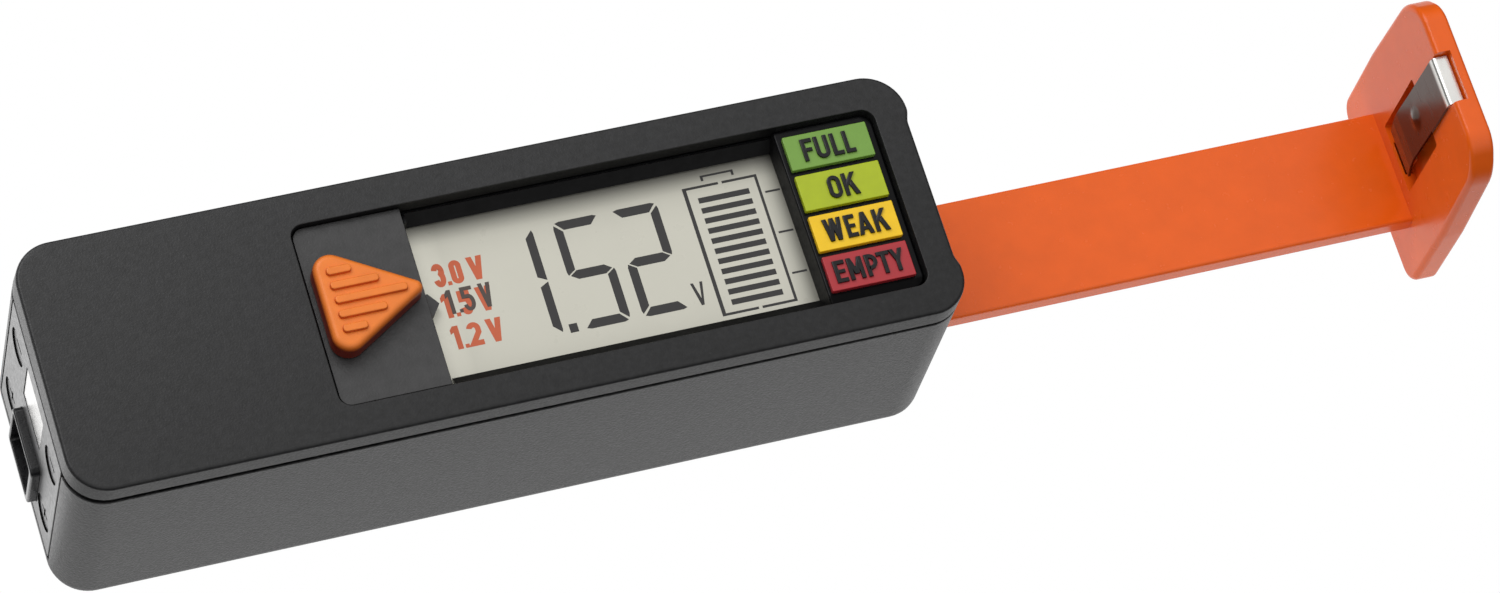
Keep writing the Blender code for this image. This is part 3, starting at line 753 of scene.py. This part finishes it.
# frame pieces that keep their CAD shape: node, finish
NODE_FINISHES = {
    "circuit_board": "solder_mask", "chip_dome": "epoxy", "step_up_coil": "ferrite_core",
    "buffer_capacitor": "capacitor_sleeve", "load_resistor": "resistor_ceramic",
    "display_carrier": "carrier_plastic", "elastomer_strip": "elastomer_rubber",
    "selector_wiper": "brass", "selector_carriage": "panel_plastic", "arm_strip": "brass",
    "arm_wiper": "brass", "wiper_lead": "wire_insulation", "rail_guide": "collar_plastic",
    "housing_screw_1": "zinc", "housing_screw_2": "zinc", "block_contact_plus": "nickel",
}
for node_name, key in NODE_FINISHES.items():
    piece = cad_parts[node_name]
    piece.data.materials.clear()
    piece.data.materials.append(FINISH[key])
    bevel = piece.modifiers.new("soft_edges", "BEVEL")
    bevel.width = 0.00006
    bevel.segments = 2
    bevel.limit_method = "ANGLE"
    bevel.angle_limit = math.radians(50)

# ===========================================================================
# top cover
# ===========================================================================
# outline tables: u, v, corner radius, segments
LEFT_NEAR, LEFT_FAR = (0, -HALF_WIDTH, 4.0, 14), (0, HALF_WIDTH, 4.0, 14)
RIGHT_NEAR, RIGHT_FAR = (LENGTH, -HALF_WIDTH, 3.8, 14), (LENGTH, HALF_WIDTH, 4.1, 14)
COVER_PLAN = rounded([
    LEFT_NEAR, RIGHT_NEAR, (LENGTH, -8.5, 1.6, 4), (88.25, -7.4, 1.6, 4),
    (88.25, 7.4, 1.6, 4), (LENGTH, 8.5, 1.6, 4), RIGHT_FAR, LEFT_FAR])
WINDOW = rounded([
    (26.5, -9.65, 1.3, 8), (85.1, -9.72, 1.3, 8), (85.1, 9.46, 1.3, 8),
    (75.4, 9.453, 0), (26.5, 9.42, 1.3, 8)])
COVER_LOW = SEAM + 0.12
COVER_INSIDE = 24.4  # underside of the cover's top wall
COVER_WALL = 1.8
LEAN, LEAN_RUN = 0.22, 8  # shift at the top edge, length over which it fades


def lean(spot):
    """The cover's left end leans in a little towards the top."""
    x = spot.x / MM + LENGTH / 2
    z = spot.z / MM
    if x < LEAN_RUN and z > SEAM:
        rise = min(1.0, (z - SEAM) / (TOP - SEAM))
        spot.x += LEAN * MM * rise * (1 - max(0.0, x) / LEAN_RUN)
    return spot


def make_cover():
    bm = bmesh.new()
    outside = [(COVER_WALL, COVER_INSIDE), (COVER_WALL, COVER_LOW), (0.08, COVER_LOW),
               (0.02, COVER_LOW + 0.02), (0.0, COVER_LOW + 0.08)] + edge_up(0.36, 7, TOP)
    hole = [(-d, w) for d, w in edge_up(0.11, 5, TOP)][::-1] + [(0.0, COVER_INSIDE)]
    return hollow("top_cover_look", bm, stack(bm, COVER_PLAN, outside, XY, lean),
                  stack(bm, WINDOW, hole, XY, lean), FINISH["cover_plastic"])


cover = make_cover()
# walls of the window, beside the selector and the glass, painted darker as the shade in the well
paint(cover, FINISH["well_painted_shade"],
      lambda x, y, z, n: 26 < x < 75.5 and abs(y) < 9.8 and 24.5 < z < 26.1 and abs(n.z) < 0.3)
show(cover, "housing", "housing_grey", "top_cover")

# ===========================================================================
# bottom shell
# ===========================================================================
SHELL_PLAN = rounded([LEFT_NEAR, RIGHT_NEAR, RIGHT_FAR, LEFT_FAR])
# (inset, height): rounded underside, outer wall, rim, inner wall
SHELL_STEPS = edge_down(2.2, 8, 0.0)[::-1] + [
    (0.0, 23.14), (0.02, 23.19), (0.07, 23.21), (0.16, 23.21), (0.17, 22.5), (1.7, 22.5),
    (1.8, 1.8)]
DIP, DIP_RUN = 0.4, 16  # drop at the left end, length over which it fades
# openings: x0, x1, y0, y1, z0, z1
END_PANEL_OPENING = (-1, 2.2, -9.26, 9.2, 2.66, 30)
RAIL_OPENING = (85.0, LENGTH + 1, -6.45, 6.45, 4.6, 7.35)
CELL_LEAF_OPENING = (85.0, LENGTH + 1, -2.9, 2.9, 8.6, 19.4)
SCREW_X, SCREW_Y, SCREW_HOLE_RADIUS = 10.0, 9.0, 1.6


def dip(spot):
    """The shell's top edge drops slightly towards the left end."""
    x = spot.x / MM + LENGTH / 2
    if x < DIP_RUN and spot.z > 20 * MM:
        spot.z -= DIP * MM * (1 - max(0.0, x) / DIP_RUN)
    return spot


shell = solid("bottom_shell_look", SHELL_PLAN, SHELL_STEPS, XY, FINISH["shell_plastic"],
              warp=dip)
tools = [block(*box) for box in (END_PANEL_OPENING, RAIL_OPENING, CELL_LEAF_OPENING)]
tools += [tool(circle(SCREW_X, side * SCREW_Y, SCREW_HOLE_RADIUS, 28), -1, 5.0, XY)
          for side in (-1, 1)]
show(cut(shell, *tools), "housing", "housing_grey", "bottom_shell")

# ===========================================================================
# left end: panel, collar and contact
# ===========================================================================
# round sinks with a minus (upper) or plus (lower) cut deeper in them
SINK_RADIUS, SINK_DEPTH = 1.95, 0.17
SINK_Y, MINUS_Z, PLUS_Z = 6.2, 18.7, 7.4
MARK_REACH, MARK_HALF, MARK_DEPTH = 0.85, 0.16, 0.4


def left_faced(name, outline, x_face, x_back, radius, mat, segments=4):
    """Body along x whose face at x_face, on the left, has a rounded rim."""
    steps = [(0.0, x_back)] + edge_down(radius, segments, x_face)
    return solid(name, outline, steps, YZ, mat)


def minus_outline(y, z):
    return rect(y - MARK_REACH, y + MARK_REACH, z - MARK_HALF, z + MARK_HALF)


def plus_outline(y, z):
    a, b = MARK_REACH, MARK_HALF
    corners = ((-b, -a), (b, -a), (b, -b), (a, -b), (a, b), (b, b),
               (b, a), (-b, a), (-b, b), (-a, b), (-a, -b), (-b, -b))
    return [Vector((y + du, z + dv)) for du, dv in corners]


end = left_faced("end_panel_look", rect(-8.95, 8.95, 2.88, 23.32, 0.2, 4), 0.0, 1.7, 0.1,
                 FINISH["end_plastic"])
# openings for the square contact and the collar
tools = [tool(rect(-2.98, 3.12, 14.85, 20.95, 0.2, 3), -1, 3, YZ),
         tool(rect(-4.18, 3.28, 4.82, 12.08, 0.75, 5), -1, 3, YZ)]
for y in (-SINK_Y, SINK_Y):
    for z, mark_outline in ((MINUS_Z, minus_outline), (PLUS_Z, plus_outline)):
        tools.append(tool(circle(y, z, SINK_RADIUS, 40), -0.5, SINK_DEPTH, YZ))
        tools.append(tool(mark_outline(y, z), -0.5, MARK_DEPTH, YZ))
cut(end, *tools)
# side walls of the sinks and marks
paint(end, FINISH["groove_shade"],
      lambda x, y, z, n: 0.04 < x < 0.5 and 4.0 < abs(y) < 8.4 and abs(n.x) < 0.5)
show(end, "housing", "end_panel_grey", "end_panel")

COLLAR_FACE = -0.9  # the collar stands out of the end
COLLAR_OUTLINE = rect(-4.1, 3.2, 4.9, 12.0, 0.7, 7)
COLLAR_HOLE = rect(-3.4, 2.75, 5.5, 11.55, 0.4, 7)
COLLAR_BACK, COLLAR_FLOOR = 2.7, 2.0


def make_collar():
    bm = bmesh.new()
    outer = stack(bm, COLLAR_OUTLINE, [(0.0, COLLAR_BACK)] + edge_down(0.2, 4, COLLAR_FACE), YZ)
    mouth = [(-d, w) for d, w in edge_down(0.12, 3, COLLAR_FACE)][::-1]
    inner = stack(bm, COLLAR_HOLE, mouth + [(0.0, COLLAR_FLOOR)], YZ)
    return hollow("polarity_collar_look", bm, outer, inner, FINISH["collar_plastic"],
                  blind=True)


show(make_collar(), "housing", "bezel_black", "polarity_collar")

MINUS_TAIL = (0.3, 8.0, -1.2, 1.2, 18.2, 18.5)
contact = left_faced("block_contact_minus_look", rect(-2.86, 3.0, 14.97, 20.83, 0.2, 4),
                     0.06, 0.4, 0.06, FINISH["contact_nickel"], 3)
show(add(contact, block(*MINUS_TAIL)), "housing", "contact_nickel", "block_contact_minus")

# ===========================================================================
# selector
# ===========================================================================
KNOB_Y = 0.3
PANEL_PLAN = rounded([(26.74, -9.35, 1.15, 8), (37.5, -9.35, 0.12, 3), (37.5, 9.38, 0.12, 3),
                      (26.74, 9.37, 1.15, 8)])
SLOT_X0, SLOT_X1, SLOT_HALF = 28.45, 30.05, 4.8
panel = solid("selector_panel_look", PANEL_PLAN, slab_steps(24.45, 25.4, 0.0, 0.09, 4), XY,
              FINISH["panel_plastic"])
slot = tool(rect(SLOT_X0, SLOT_X1, KNOB_Y - SLOT_HALF, KNOB_Y + SLOT_HALF, 0.3, 3), 23, 27, XY)
show(cut(panel, slot), "housing", "panel_grey", "selector_panel")

# triangular knob pointing right
KNOB_PLAN = rounded([(27.2, KNOB_Y + 6.45, 1.75, 12), (27.2, KNOB_Y - 6.45, 1.75, 12),
                     (37.8, KNOB_Y, 0.8, 12)])
KNOB_TOP = 27.78
KNOB_STEPS = ([(0.12, 25.55), (0.03, 25.6), (0.0, 25.7), (0.04, 27.0)]
              + [(d + 0.05, w) for d, w in edge_up(0.66, 8, KNOB_TOP)])
# ribs: y from the knob's middle, x0, x1
RIBS = ((3.0, 28.35, 30.8), (1.5, 28.35, 33.1), (0.0, 28.4, 35.5), (-1.5, 28.35, 33.1),
        (-3.0, 28.35, 30.8))
RIB_HALF = 0.41
RIB_STEPS = [(-0.02, 27.2), (0.0, 27.98)] + edge_up(0.17, 4, 28.17)[1:]
if double_area(KNOB_PLAN) < 0:
    KNOB_PLAN = KNOB_PLAN[::-1]
knob = solid("selector_knob_look", KNOB_PLAN, KNOB_STEPS, XY, FINISH["knob_plastic"], angle=50)
ribs = [solid("tool", rect(x0, x1, KNOB_Y + dy - RIB_HALF, KNOB_Y + dy + RIB_HALF, 0.36, 6),
              RIB_STEPS, XY, coll=scratch) for dy, x0, x1 in RIBS]
stem = block(28.75, 29.75, KNOB_Y - 1.4, KNOB_Y + 1.4, 22.9, 26.5)
add(knob, *ribs, stem)
# near and left flanks of the ribs, painted darker as shade
paint(knob, FINISH["knob_rib_painted_shade"],
      lambda x, y, z, n: 27.79 < z < 28.13 and n.z < 0.82 and (n.y < -0.25 or n.x < -0.4))
show(knob, "selector", "knob_orange", "selector_knob")

# ===========================================================================
# display bezel and glass
# ===========================================================================
BEZEL_PLAN = rounded([(37.8, -9.35, 0.1, 2), (84.8, -9.35, 1.2, 6), (84.8, 9.37, 1.2, 6),
                      (37.8, 9.37, 0.1, 2)])
WELL_PLAN = rounded([(38.05, -9.0, 0.1, 2), (84.5, -9.0, 0.95, 6), (84.5, 9.25, 0.95, 6),
                     (38.05, 9.25, 0.1, 2)])
GLASS_OPENING = rounded([(38.12, -7.82, 0.1, 2), (76.1, -7.82, 0.95, 6), (76.1, 8.25, 0.95, 6),
                         (38.12, 8.25, 0.1, 2)])
# platform under the four labels, right of the glass
PLATFORM_PLAN = rounded([(75.25, -9.5, 0.2, 4), (84.98, -9.5, 1.2, 6), (84.98, 9.38, 1.2, 6),
                         (75.05, 9.38, 0.2, 4)])
PLATFORM_STEPS = [(-0.22, 22.9), (-0.2, 23.0), (0.0, 24.95)] + edge_up(0.2, 4, 25.25)[1:]
BEZEL_LOW, BEZEL_TOP = 22.95, 24.35
# cut away along the bezel's left edge, then at its near corner
LEFT_EDGE_CUTS = ((37.0, 38.4, -7.8, 8.2, 20, 30), (37.0, 38.14, -9.7, -7.7, 20, 30))


def make_bezel():
    """Dark well round the glass: floor ring and walls."""
    bm = bmesh.new()
    outer = stack(bm, BEZEL_PLAN, [(0.0, BEZEL_LOW), (0.0, BEZEL_TOP)], XY)
    inner = stack(bm, WELL_PLAN, [(0.0, BEZEL_TOP), (0.0, 24.1)], XY)
    inner += stack(bm, GLASS_OPENING, [(0.0, 23.0), (0.0, BEZEL_LOW)], XY)
    return hollow("display_bezel_look", bm, outer, inner, FINISH["bezel_plastic"])


bezel = make_bezel()
add(bezel, solid("tool", PLATFORM_PLAN, PLATFORM_STEPS, XY, coll=scratch))
cut(bezel, *[block(*box) for box in LEFT_EDGE_CUTS])
# left face of the platform and the far slope of the well, painted darker as shade
paint(bezel, FINISH["well_painted_shade"],
      lambda x, y, z, n: (n.x < -0.7 and 74.7 < x < 75.6 and z < 25.15)
      or (22.99 < z < 24.2 and n.z > 0.2 and y > 7.5))
# near slope of the well
paint(bezel, FINISH["groove_shade"],
      lambda x, y, z, n: 22.99 < z < 24.4 and n.z > 0.2 and y < -7.5)
show(bezel, "housing", "bezel_black", "display_bezel")

GLASS_TOP = 22.7
glass = solid("lcd_glass_look", rect(37.25, 76.35, -8.65, 8.65, 0.2, 3),
              slab_steps(21.3, GLASS_TOP, 0.05, 0.05, 2), XY, FINISH["lcd_face"])
show(glass, "housing", "lcd_glass", "lcd_glass")

# ===========================================================================
# display contents
# ===========================================================================
DIGIT_TOP, DIGIT_MID, DIGIT_LOW = 5.84, 0.07, -5.66
DIGIT_WIDTH = 4.68


def segments(x0, which):
    """Seven-segment outlines, by their usual letters, of the digit at x0."""
    x1 = x0 + DIGIT_WIDTH
    mid = DIGIT_MID

    def flat(end, up):
        return [(x0 + .25, end - up * .13), (x0 + .7, end), (x1 - .62, end),
                (x1 - .25, end - up * .13), (x1 - .98, end - up * .93),
                (x0 + .98, end - up * .93)]

    def upright(side, inward, end, up):
        near, deep = side + inward * .1, side + inward * .87
        return [(near, end - up * .36), (side, end - up * .72), (side, mid + up * .42),
                (near, mid + up * .06), (deep, mid + up * .58), (deep, end - up * 1.1)]

    shapes = {
        "a": flat(DIGIT_TOP, 1),
        "f": upright(x0, 1, DIGIT_TOP, 1),
        "b": upright(x1, -1, DIGIT_TOP, 1),
        "g": [(x0 + .28, mid), (x0 + .97, mid - .46), (x1 - .97, mid - .46), (x1 - .28, mid),
              (x1 - .97, mid + .48), (x0 + .97, mid + .48)],
        "e": upright(x0, 1, DIGIT_LOW, -1),
        "c": upright(x1, -1, DIGIT_LOW, -1),
        "d": flat(DIGIT_LOW, -1),
    }
    return [shapes[key] for key in which]


def show_segments(name, outlines):
    piece = prisms(name, outlines, GLASS_TOP - 0.005, GLASS_TOP + 0.02, FINISH["lcd_segment"])
    show(piece, "housing", "lcd_glass", weighted=False)


# the reading "1.52v"; outline points are (x, y)
ONE = [[(49.1, 4.77), (49.85, 5.55), (49.96, 5.2), (49.96, 0.18), (49.1, 0.63)],
       [(49.1, -0.45), (49.97, 0.0), (49.96, -5.1), (49.88, -5.38), (49.1, -4.63)]]
POINT = bar(50.6, 51.42, DIGIT_LOW, -4.76)
SMALL_V = [(63.26, -3.25), (63.53, -3.25), (63.93, -4.95), (64.2, -3.22), (64.48, -3.24),
           (64.02, -5.64), (63.74, -5.66)]
show_segments("lcd_digits", ONE + [POINT] + segments(52.0, "afgcd") + segments(57.88, "abged")
              + [SMALL_V])

# battery drawing: left and right halves of the case, its tip, bars, scale ticks
BATTERY = [
    [(69.05, 6.57), (65.39, 6.57), (65.39, -7.25), (69.05, -7.25), (69.05, -7.0),
     (65.76, -7.0), (65.76, 6.32), (69.05, 6.32)],
    [(69.43, 6.57), (72.97, 6.57), (72.97, -7.25), (69.43, -7.25), (69.43, -7.0),
     (72.7, -7.0), (72.7, 6.32), (69.43, 6.32)],
    [(67.5, 6.98), (67.5, 7.56), (70.85, 7.56), (70.85, 6.98), (70.6, 6.98), (70.6, 7.36),
     (67.75, 7.36), (67.75, 6.98)],
]
BAR_COUNT, BAR_PITCH, BAR_HEIGHT = 11, 1.1, 0.58
FIRST_BAR_TOP = 5.29
bar_tops = [FIRST_BAR_TOP - BAR_PITCH * k for k in range(BAR_COUNT)]
show_segments("lcd_battery_gauge",
              BATTERY + [bar(66.64, 71.82, y - BAR_HEIGHT, y) for y in bar_tops]
              + [bar(73.3, 74.8, y - 0.1, y + 0.1) for y in (4.52, 0.1, -4.33)])

# name, y0, y1, glyphs as (letter, x0, x1)
PRINTS = (
    ("lcd_print_3v", 1.68, 4.14,
     (("3", 39.3, 40.52), (".", 40.58, 40.98), ("0", 41.05, 42.25), ("V", 42.85, 44.42))),
    ("lcd_print_1v5", -1.64, 0.94,
     (("1", 39.35, 40.2), (".", 40.5, 40.9), ("5", 41.02, 42.28), ("V", 42.8, 44.38))),
    ("lcd_print_1v2", -4.96, -2.5,
     (("1", 39.35, 40.2), (".", 40.42, 40.82), ("2", 40.92, 42.3), ("V", 42.85, 44.42))),
)
for name, y0, y1, glyphs in PRINTS:
    word = letters(name, glyphs, y0, y1, GLASS_TOP - 0.007, GLASS_TOP + 0.006, 0.54,
                   FINISH["lcd_orange_print"])
    show(word, "housing", "lcd_glass", weighted=False)
# dark 1.5V over the orange one
DARK_MARK = (("1", 39.85, 40.5), (".", 40.9, 41.24), ("5", 41.4, 42.6), ("V", 43.2, 44.4))
word = letters("lcd_mark_1v5", DARK_MARK, -1.3, 1.24, GLASS_TOP + 0.012, GLASS_TOP + 0.026,
               0.38, FINISH["lcd_dark_print"])
show(word, "housing", "lcd_glass", weighted=False)

# ===========================================================================
# label tiles
# ===========================================================================
TILE_X0, TILE_X1 = 75.62, 84.15
# node, finish, slot, tile y0 and y1, letter y0 and y1, glyphs as (letter, x0, x1)
TILES = (
    ("label_full", "tile_green", "label_green", 4.75, 8.38, 5.4, 7.74,
     (("F", 77.15, 78.3), ("U", 78.5, 79.85), ("L", 80.15, 81.2), ("L", 81.42, 82.4))),
    ("label_ok", "tile_lime", "label_lime", 0.33, 4.12, 1.02, 3.38,
     (("O", 78.45, 79.75), ("K", 80.0, 81.4))),
    ("label_weak", "tile_yellow", "label_yellow", -4.08, -0.28, -3.3, -0.95,
     (("W", 76.7, 78.55), ("E", 78.85, 79.9), ("A", 80.02, 81.5), ("K", 81.72, 83.1))),
    ("label_empty", "tile_red", "label_red", -8.36, -4.66, -7.68, -5.38,
     (("E", 76.35, 77.5), ("M", 77.75, 79.25), ("P", 79.55, 80.75), ("T", 80.8, 82.05),
      ("Y", 82.08, 83.45))),
)
for node_name, key, slot_name, y0, y1, text_y0, text_y1, glyphs in TILES:
    tile = solid(node_name + "_look", rect(TILE_X0, TILE_X1, y0, y1, 0.12, 3),
                 slab_steps(25.3, 25.82, 0.0, 0.09, 3), XY, FINISH[key])
    show(tile, "housing", slot_name, node_name)
    word = letters(node_name + "_letters", glyphs, text_y0, text_y1, 25.8, 26.06, 0.4,
                   FINISH["letter_black"], radius=0.05)
    show(word, "housing", "bezel_black", weighted=False)

# ===========================================================================
# arm
# ===========================================================================
PLATE_X0, PLATE_X1 = 142.3, 144.95
PLATE_OUTLINE = rounded([
    (-10.6, 0.12, 2.1, 10), (10.6, 0.12, 2.1, 10), (10.68, 12.0, 14.0, 10),
    (10.08, 23.95, 5.0, 12), (7.6, 26.95, 3.2, 12), (-7.6, 26.95, 3.2, 12),
    (-10.08, 23.95, 5.0, 12), (-10.68, 12.0, 14.0, 10)])
# cuts: y0, y1, z0, z1, corner radius and segments; then x0, x1
ARM_CUTS = (
    ((-1.9, 1.9, 4.0, 5.6), 57.5, 143.4),  # groove under the rail
    ((-1.85, 1.85, 4.3, 9.0), 142.6, 143.5),  # groove up into the plate
    ((-3.8, 3.8, 8.7, 19.3, 0.3, 3), 141.5, 143.6),  # recess behind the leaf
    ((-2.74, 2.74, 25.72, 30.0, 0.15, 3), 141.5, 143.84),  # notch in the top edge
)
arm = solid("slide_arm_look", PLATE_OUTLINE,
            edge_down(0.6, 8, PLATE_X0)[::-1] + edge_up(0.5, 6, PLATE_X1), YZ,
            FINISH["arm_plastic"])
rail = tool(rect(-6.2, 6.2, 4.85, 7.05, 0.35, 5), 58.5, 143.2, YZ, 0.2, 0.0, 3)
ears = tool(rect(70.5, 73.7, -6.9, 6.9, 0.4, 4), 5.15, 6.7, XY, 0.15, 0.15, 3)
add(arm, rail, ears)
cut(arm, *[tool(rect(*box), x0, x1, YZ) for box, x0, x1 in ARM_CUTS])
show(arm, "arm", "arm_orange", "slide_arm")

# leaf paths: x, z, bend radius
ARM_LEAF_PATH = ((143.65, 26.0, 0), (142.15, 26.0, 0.42), (141.95, 18.5, 6),
                 (141.75, 14.2, 2.2), (141.93, 12.2, 1.5), (142.4, 9.9, 0))
CELL_LEAF_PATH = ((79.0, 18.35, 0), (87.9, 18.35, 1.2), (90.3, 16.6, 2.2),
                  (91.05, 14.2, 2.6), (90.5, 11.9, 2.4), (88.75, 9.3, 0))
# the leaf's finish carries a painted dark reflection below the top bend
arm_leaf = leaf("arm_leaf_look", refine(bend(ARM_LEAF_PATH), 0.25), FINISH["nickel_painted_reflection"],
                bump=(-0.32, 9.5, 1.35))
show(arm_leaf, "arm_spring", "contact_nickel", "arm_leaf")
cell_leaf = leaf("cell_leaf_look", refine(bend(CELL_LEAF_PATH), 0.3), FINISH["nickel"])
show(cell_leaf, "cell_spring", "contact_nickel", "cell_leaf")

# ===========================================================================
# table, light, camera (metres)
# ===========================================================================
TABLE_HALF, TABLE_Z = 3.0, -0.0004
# box round the product: its table glow is full nearby and fades outwards
GLOW_X, GLOW_HALF_X, GLOW_HALF_Y = 0.028, 0.074, 0.013


def table_material():
    """Plain white to the camera; lights the product only from close by."""
    mat = bpy.data.materials.new("table_white")
    mat.use_nodes = True
    tree = mat.node_tree
    tree.nodes.clear()
    place = coordinates(tree)
    x, y = place["X"], place["Y"]

    def ease(value, *span):
        return map_range(tree, value, *span, interpolation_type="SMOOTHSTEP")

    def beyond(offset, half):
        """Distance outside the glow box along one axis."""
        return calc(tree, "MAXIMUM",
                    calc(tree, "SUBTRACT", calc(tree, "ABSOLUTE", offset), half), 0.0)

    dx = beyond(calc(tree, "SUBTRACT", x, GLOW_X), GLOW_HALF_X)
    dy = beyond(y, GLOW_HALF_Y)
    away = calc(tree, "SQRT", calc(tree, "ADD", calc(tree, "MULTIPLY", dx, dx),
                                   calc(tree, "MULTIPLY", dy, dy)))
    near = ease(away, 0.012, 0.075, 1.0, 0.08)
    # extra light beyond the left end, except at its near corner
    left = calc(tree, "MULTIPLY", ease(x, -0.0445, -0.0462, 0.0, 0.75),
                ease(y, -0.0105, -0.006, 0.0, 1.0))
    to_camera = add_node(tree, "ShaderNodeLightPath").outputs["Is Camera Ray"]
    strength = calc(tree, "MAXIMUM", calc(tree, "ADD", near, left), to_camera)
    glow = add_node(tree, "ShaderNodeEmission",
                    {"Color": (1.0, 1.0, 1.0, 1.0), "Strength": strength})
    clear = add_node(tree, "ShaderNodeBsdfTransparent")
    below = add_node(tree, "ShaderNodeNewGeometry").outputs["Backfacing"]
    mix = add_node(tree, "ShaderNodeMixShader",
                   {0: below, 1: glow.outputs[0], 2: clear.outputs[0]})
    add_node(tree, "ShaderNodeOutputMaterial", {"Surface": mix.outputs[0]})
    return mat


def make_table():
    mesh = bpy.data.meshes.new("table")
    corners = bar(-TABLE_HALF, TABLE_HALF, -TABLE_HALF, TABLE_HALF)
    mesh.from_pydata([(x, y, TABLE_Z) for x, y in corners], [], [(0, 1, 2, 3)])
    ob = bpy.data.objects.new("table", mesh)
    scene.collection.objects.link(ob)
    mesh.materials.append(table_material())
    return ob


def make_world():
    """Dim at the horizon, bright overhead, even light grey from below."""
    world = bpy.data.worlds.new("studio")
    scene.world = world
    world.use_nodes = True
    tree = world.node_tree
    tree.nodes.clear()
    height = coordinates(tree, "Generated")["Z"]
    sky = grey_ramp(tree, height,
                    ((0.0, 0.06), (0.35, 0.09), (0.6, 0.75), (0.8, 1.0), (1.0, 1.0)),
                    interpolation="B_SPLINE")
    below = calc(tree, "LESS_THAN", height, -0.01)
    color = mix_color(tree, below, sky, (0.9, 0.9, 0.9, 1.0))
    background = add_node(tree, "ShaderNodeBackground", {"Color": color, "Strength": 1.0})
    add_node(tree, "ShaderNodeOutputWorld", {"Surface": background.outputs[0]})


def make_key_light(location, target, size, power):
    data = bpy.data.lights.new("soft_key", "AREA")
    data.shape = "RECTANGLE"
    data.size = data.size_y = size
    data.energy = power
    data.color = (1, 1, 1)
    ob = bpy.data.objects.new("soft_key", data)
    scene.collection.objects.link(ob)
    ob.location = location
    ob.rotation_mode = "QUATERNION"
    ob.rotation_quaternion = (Vector(target) - Vector(location)).to_track_quat("-Z", "Y")


def make_camera(location, right, up, ahead):
    data = bpy.data.cameras.new("camera")
    data.sensor_fit = "HORIZONTAL"
    data.sensor_width = 36.0
    data.lens = 144.5544
    data.clip_start = 0.01
    data.clip_end = 20.0
    camera = bpy.data.objects.new("camera", data)
    scene.collection.objects.link(camera)
    turn = Matrix((right, up, -Vector(ahead))).transposed()
    camera.matrix_world = Matrix.Translation(location) @ turn.to_4x4()
    scene.camera = camera


make_table()
make_world()
make_key_light(location=(-0.22, 0.46, 0.52), target=(0.0, 0.02, 0.02), size=0.5, power=2.2)
make_camera(location=(-0.130142, -0.216296, 0.535864),
            right=(0.9425248702551904, -0.2910009764814768, 0.16421114650736518),
            up=(0.19933430753514791, 0.8841116946418123, 0.42262553784297713),
            ahead=(0.26816543921601727, 0.3656021650433838, -0.8913037384223578))

scene.view_settings.view_transform = "Standard"
scene.view_settings.look = "None"
scene.view_settings.exposure = 0.0
scene.view_settings.gamma = 1.0

bpy.context.view_layer.update()
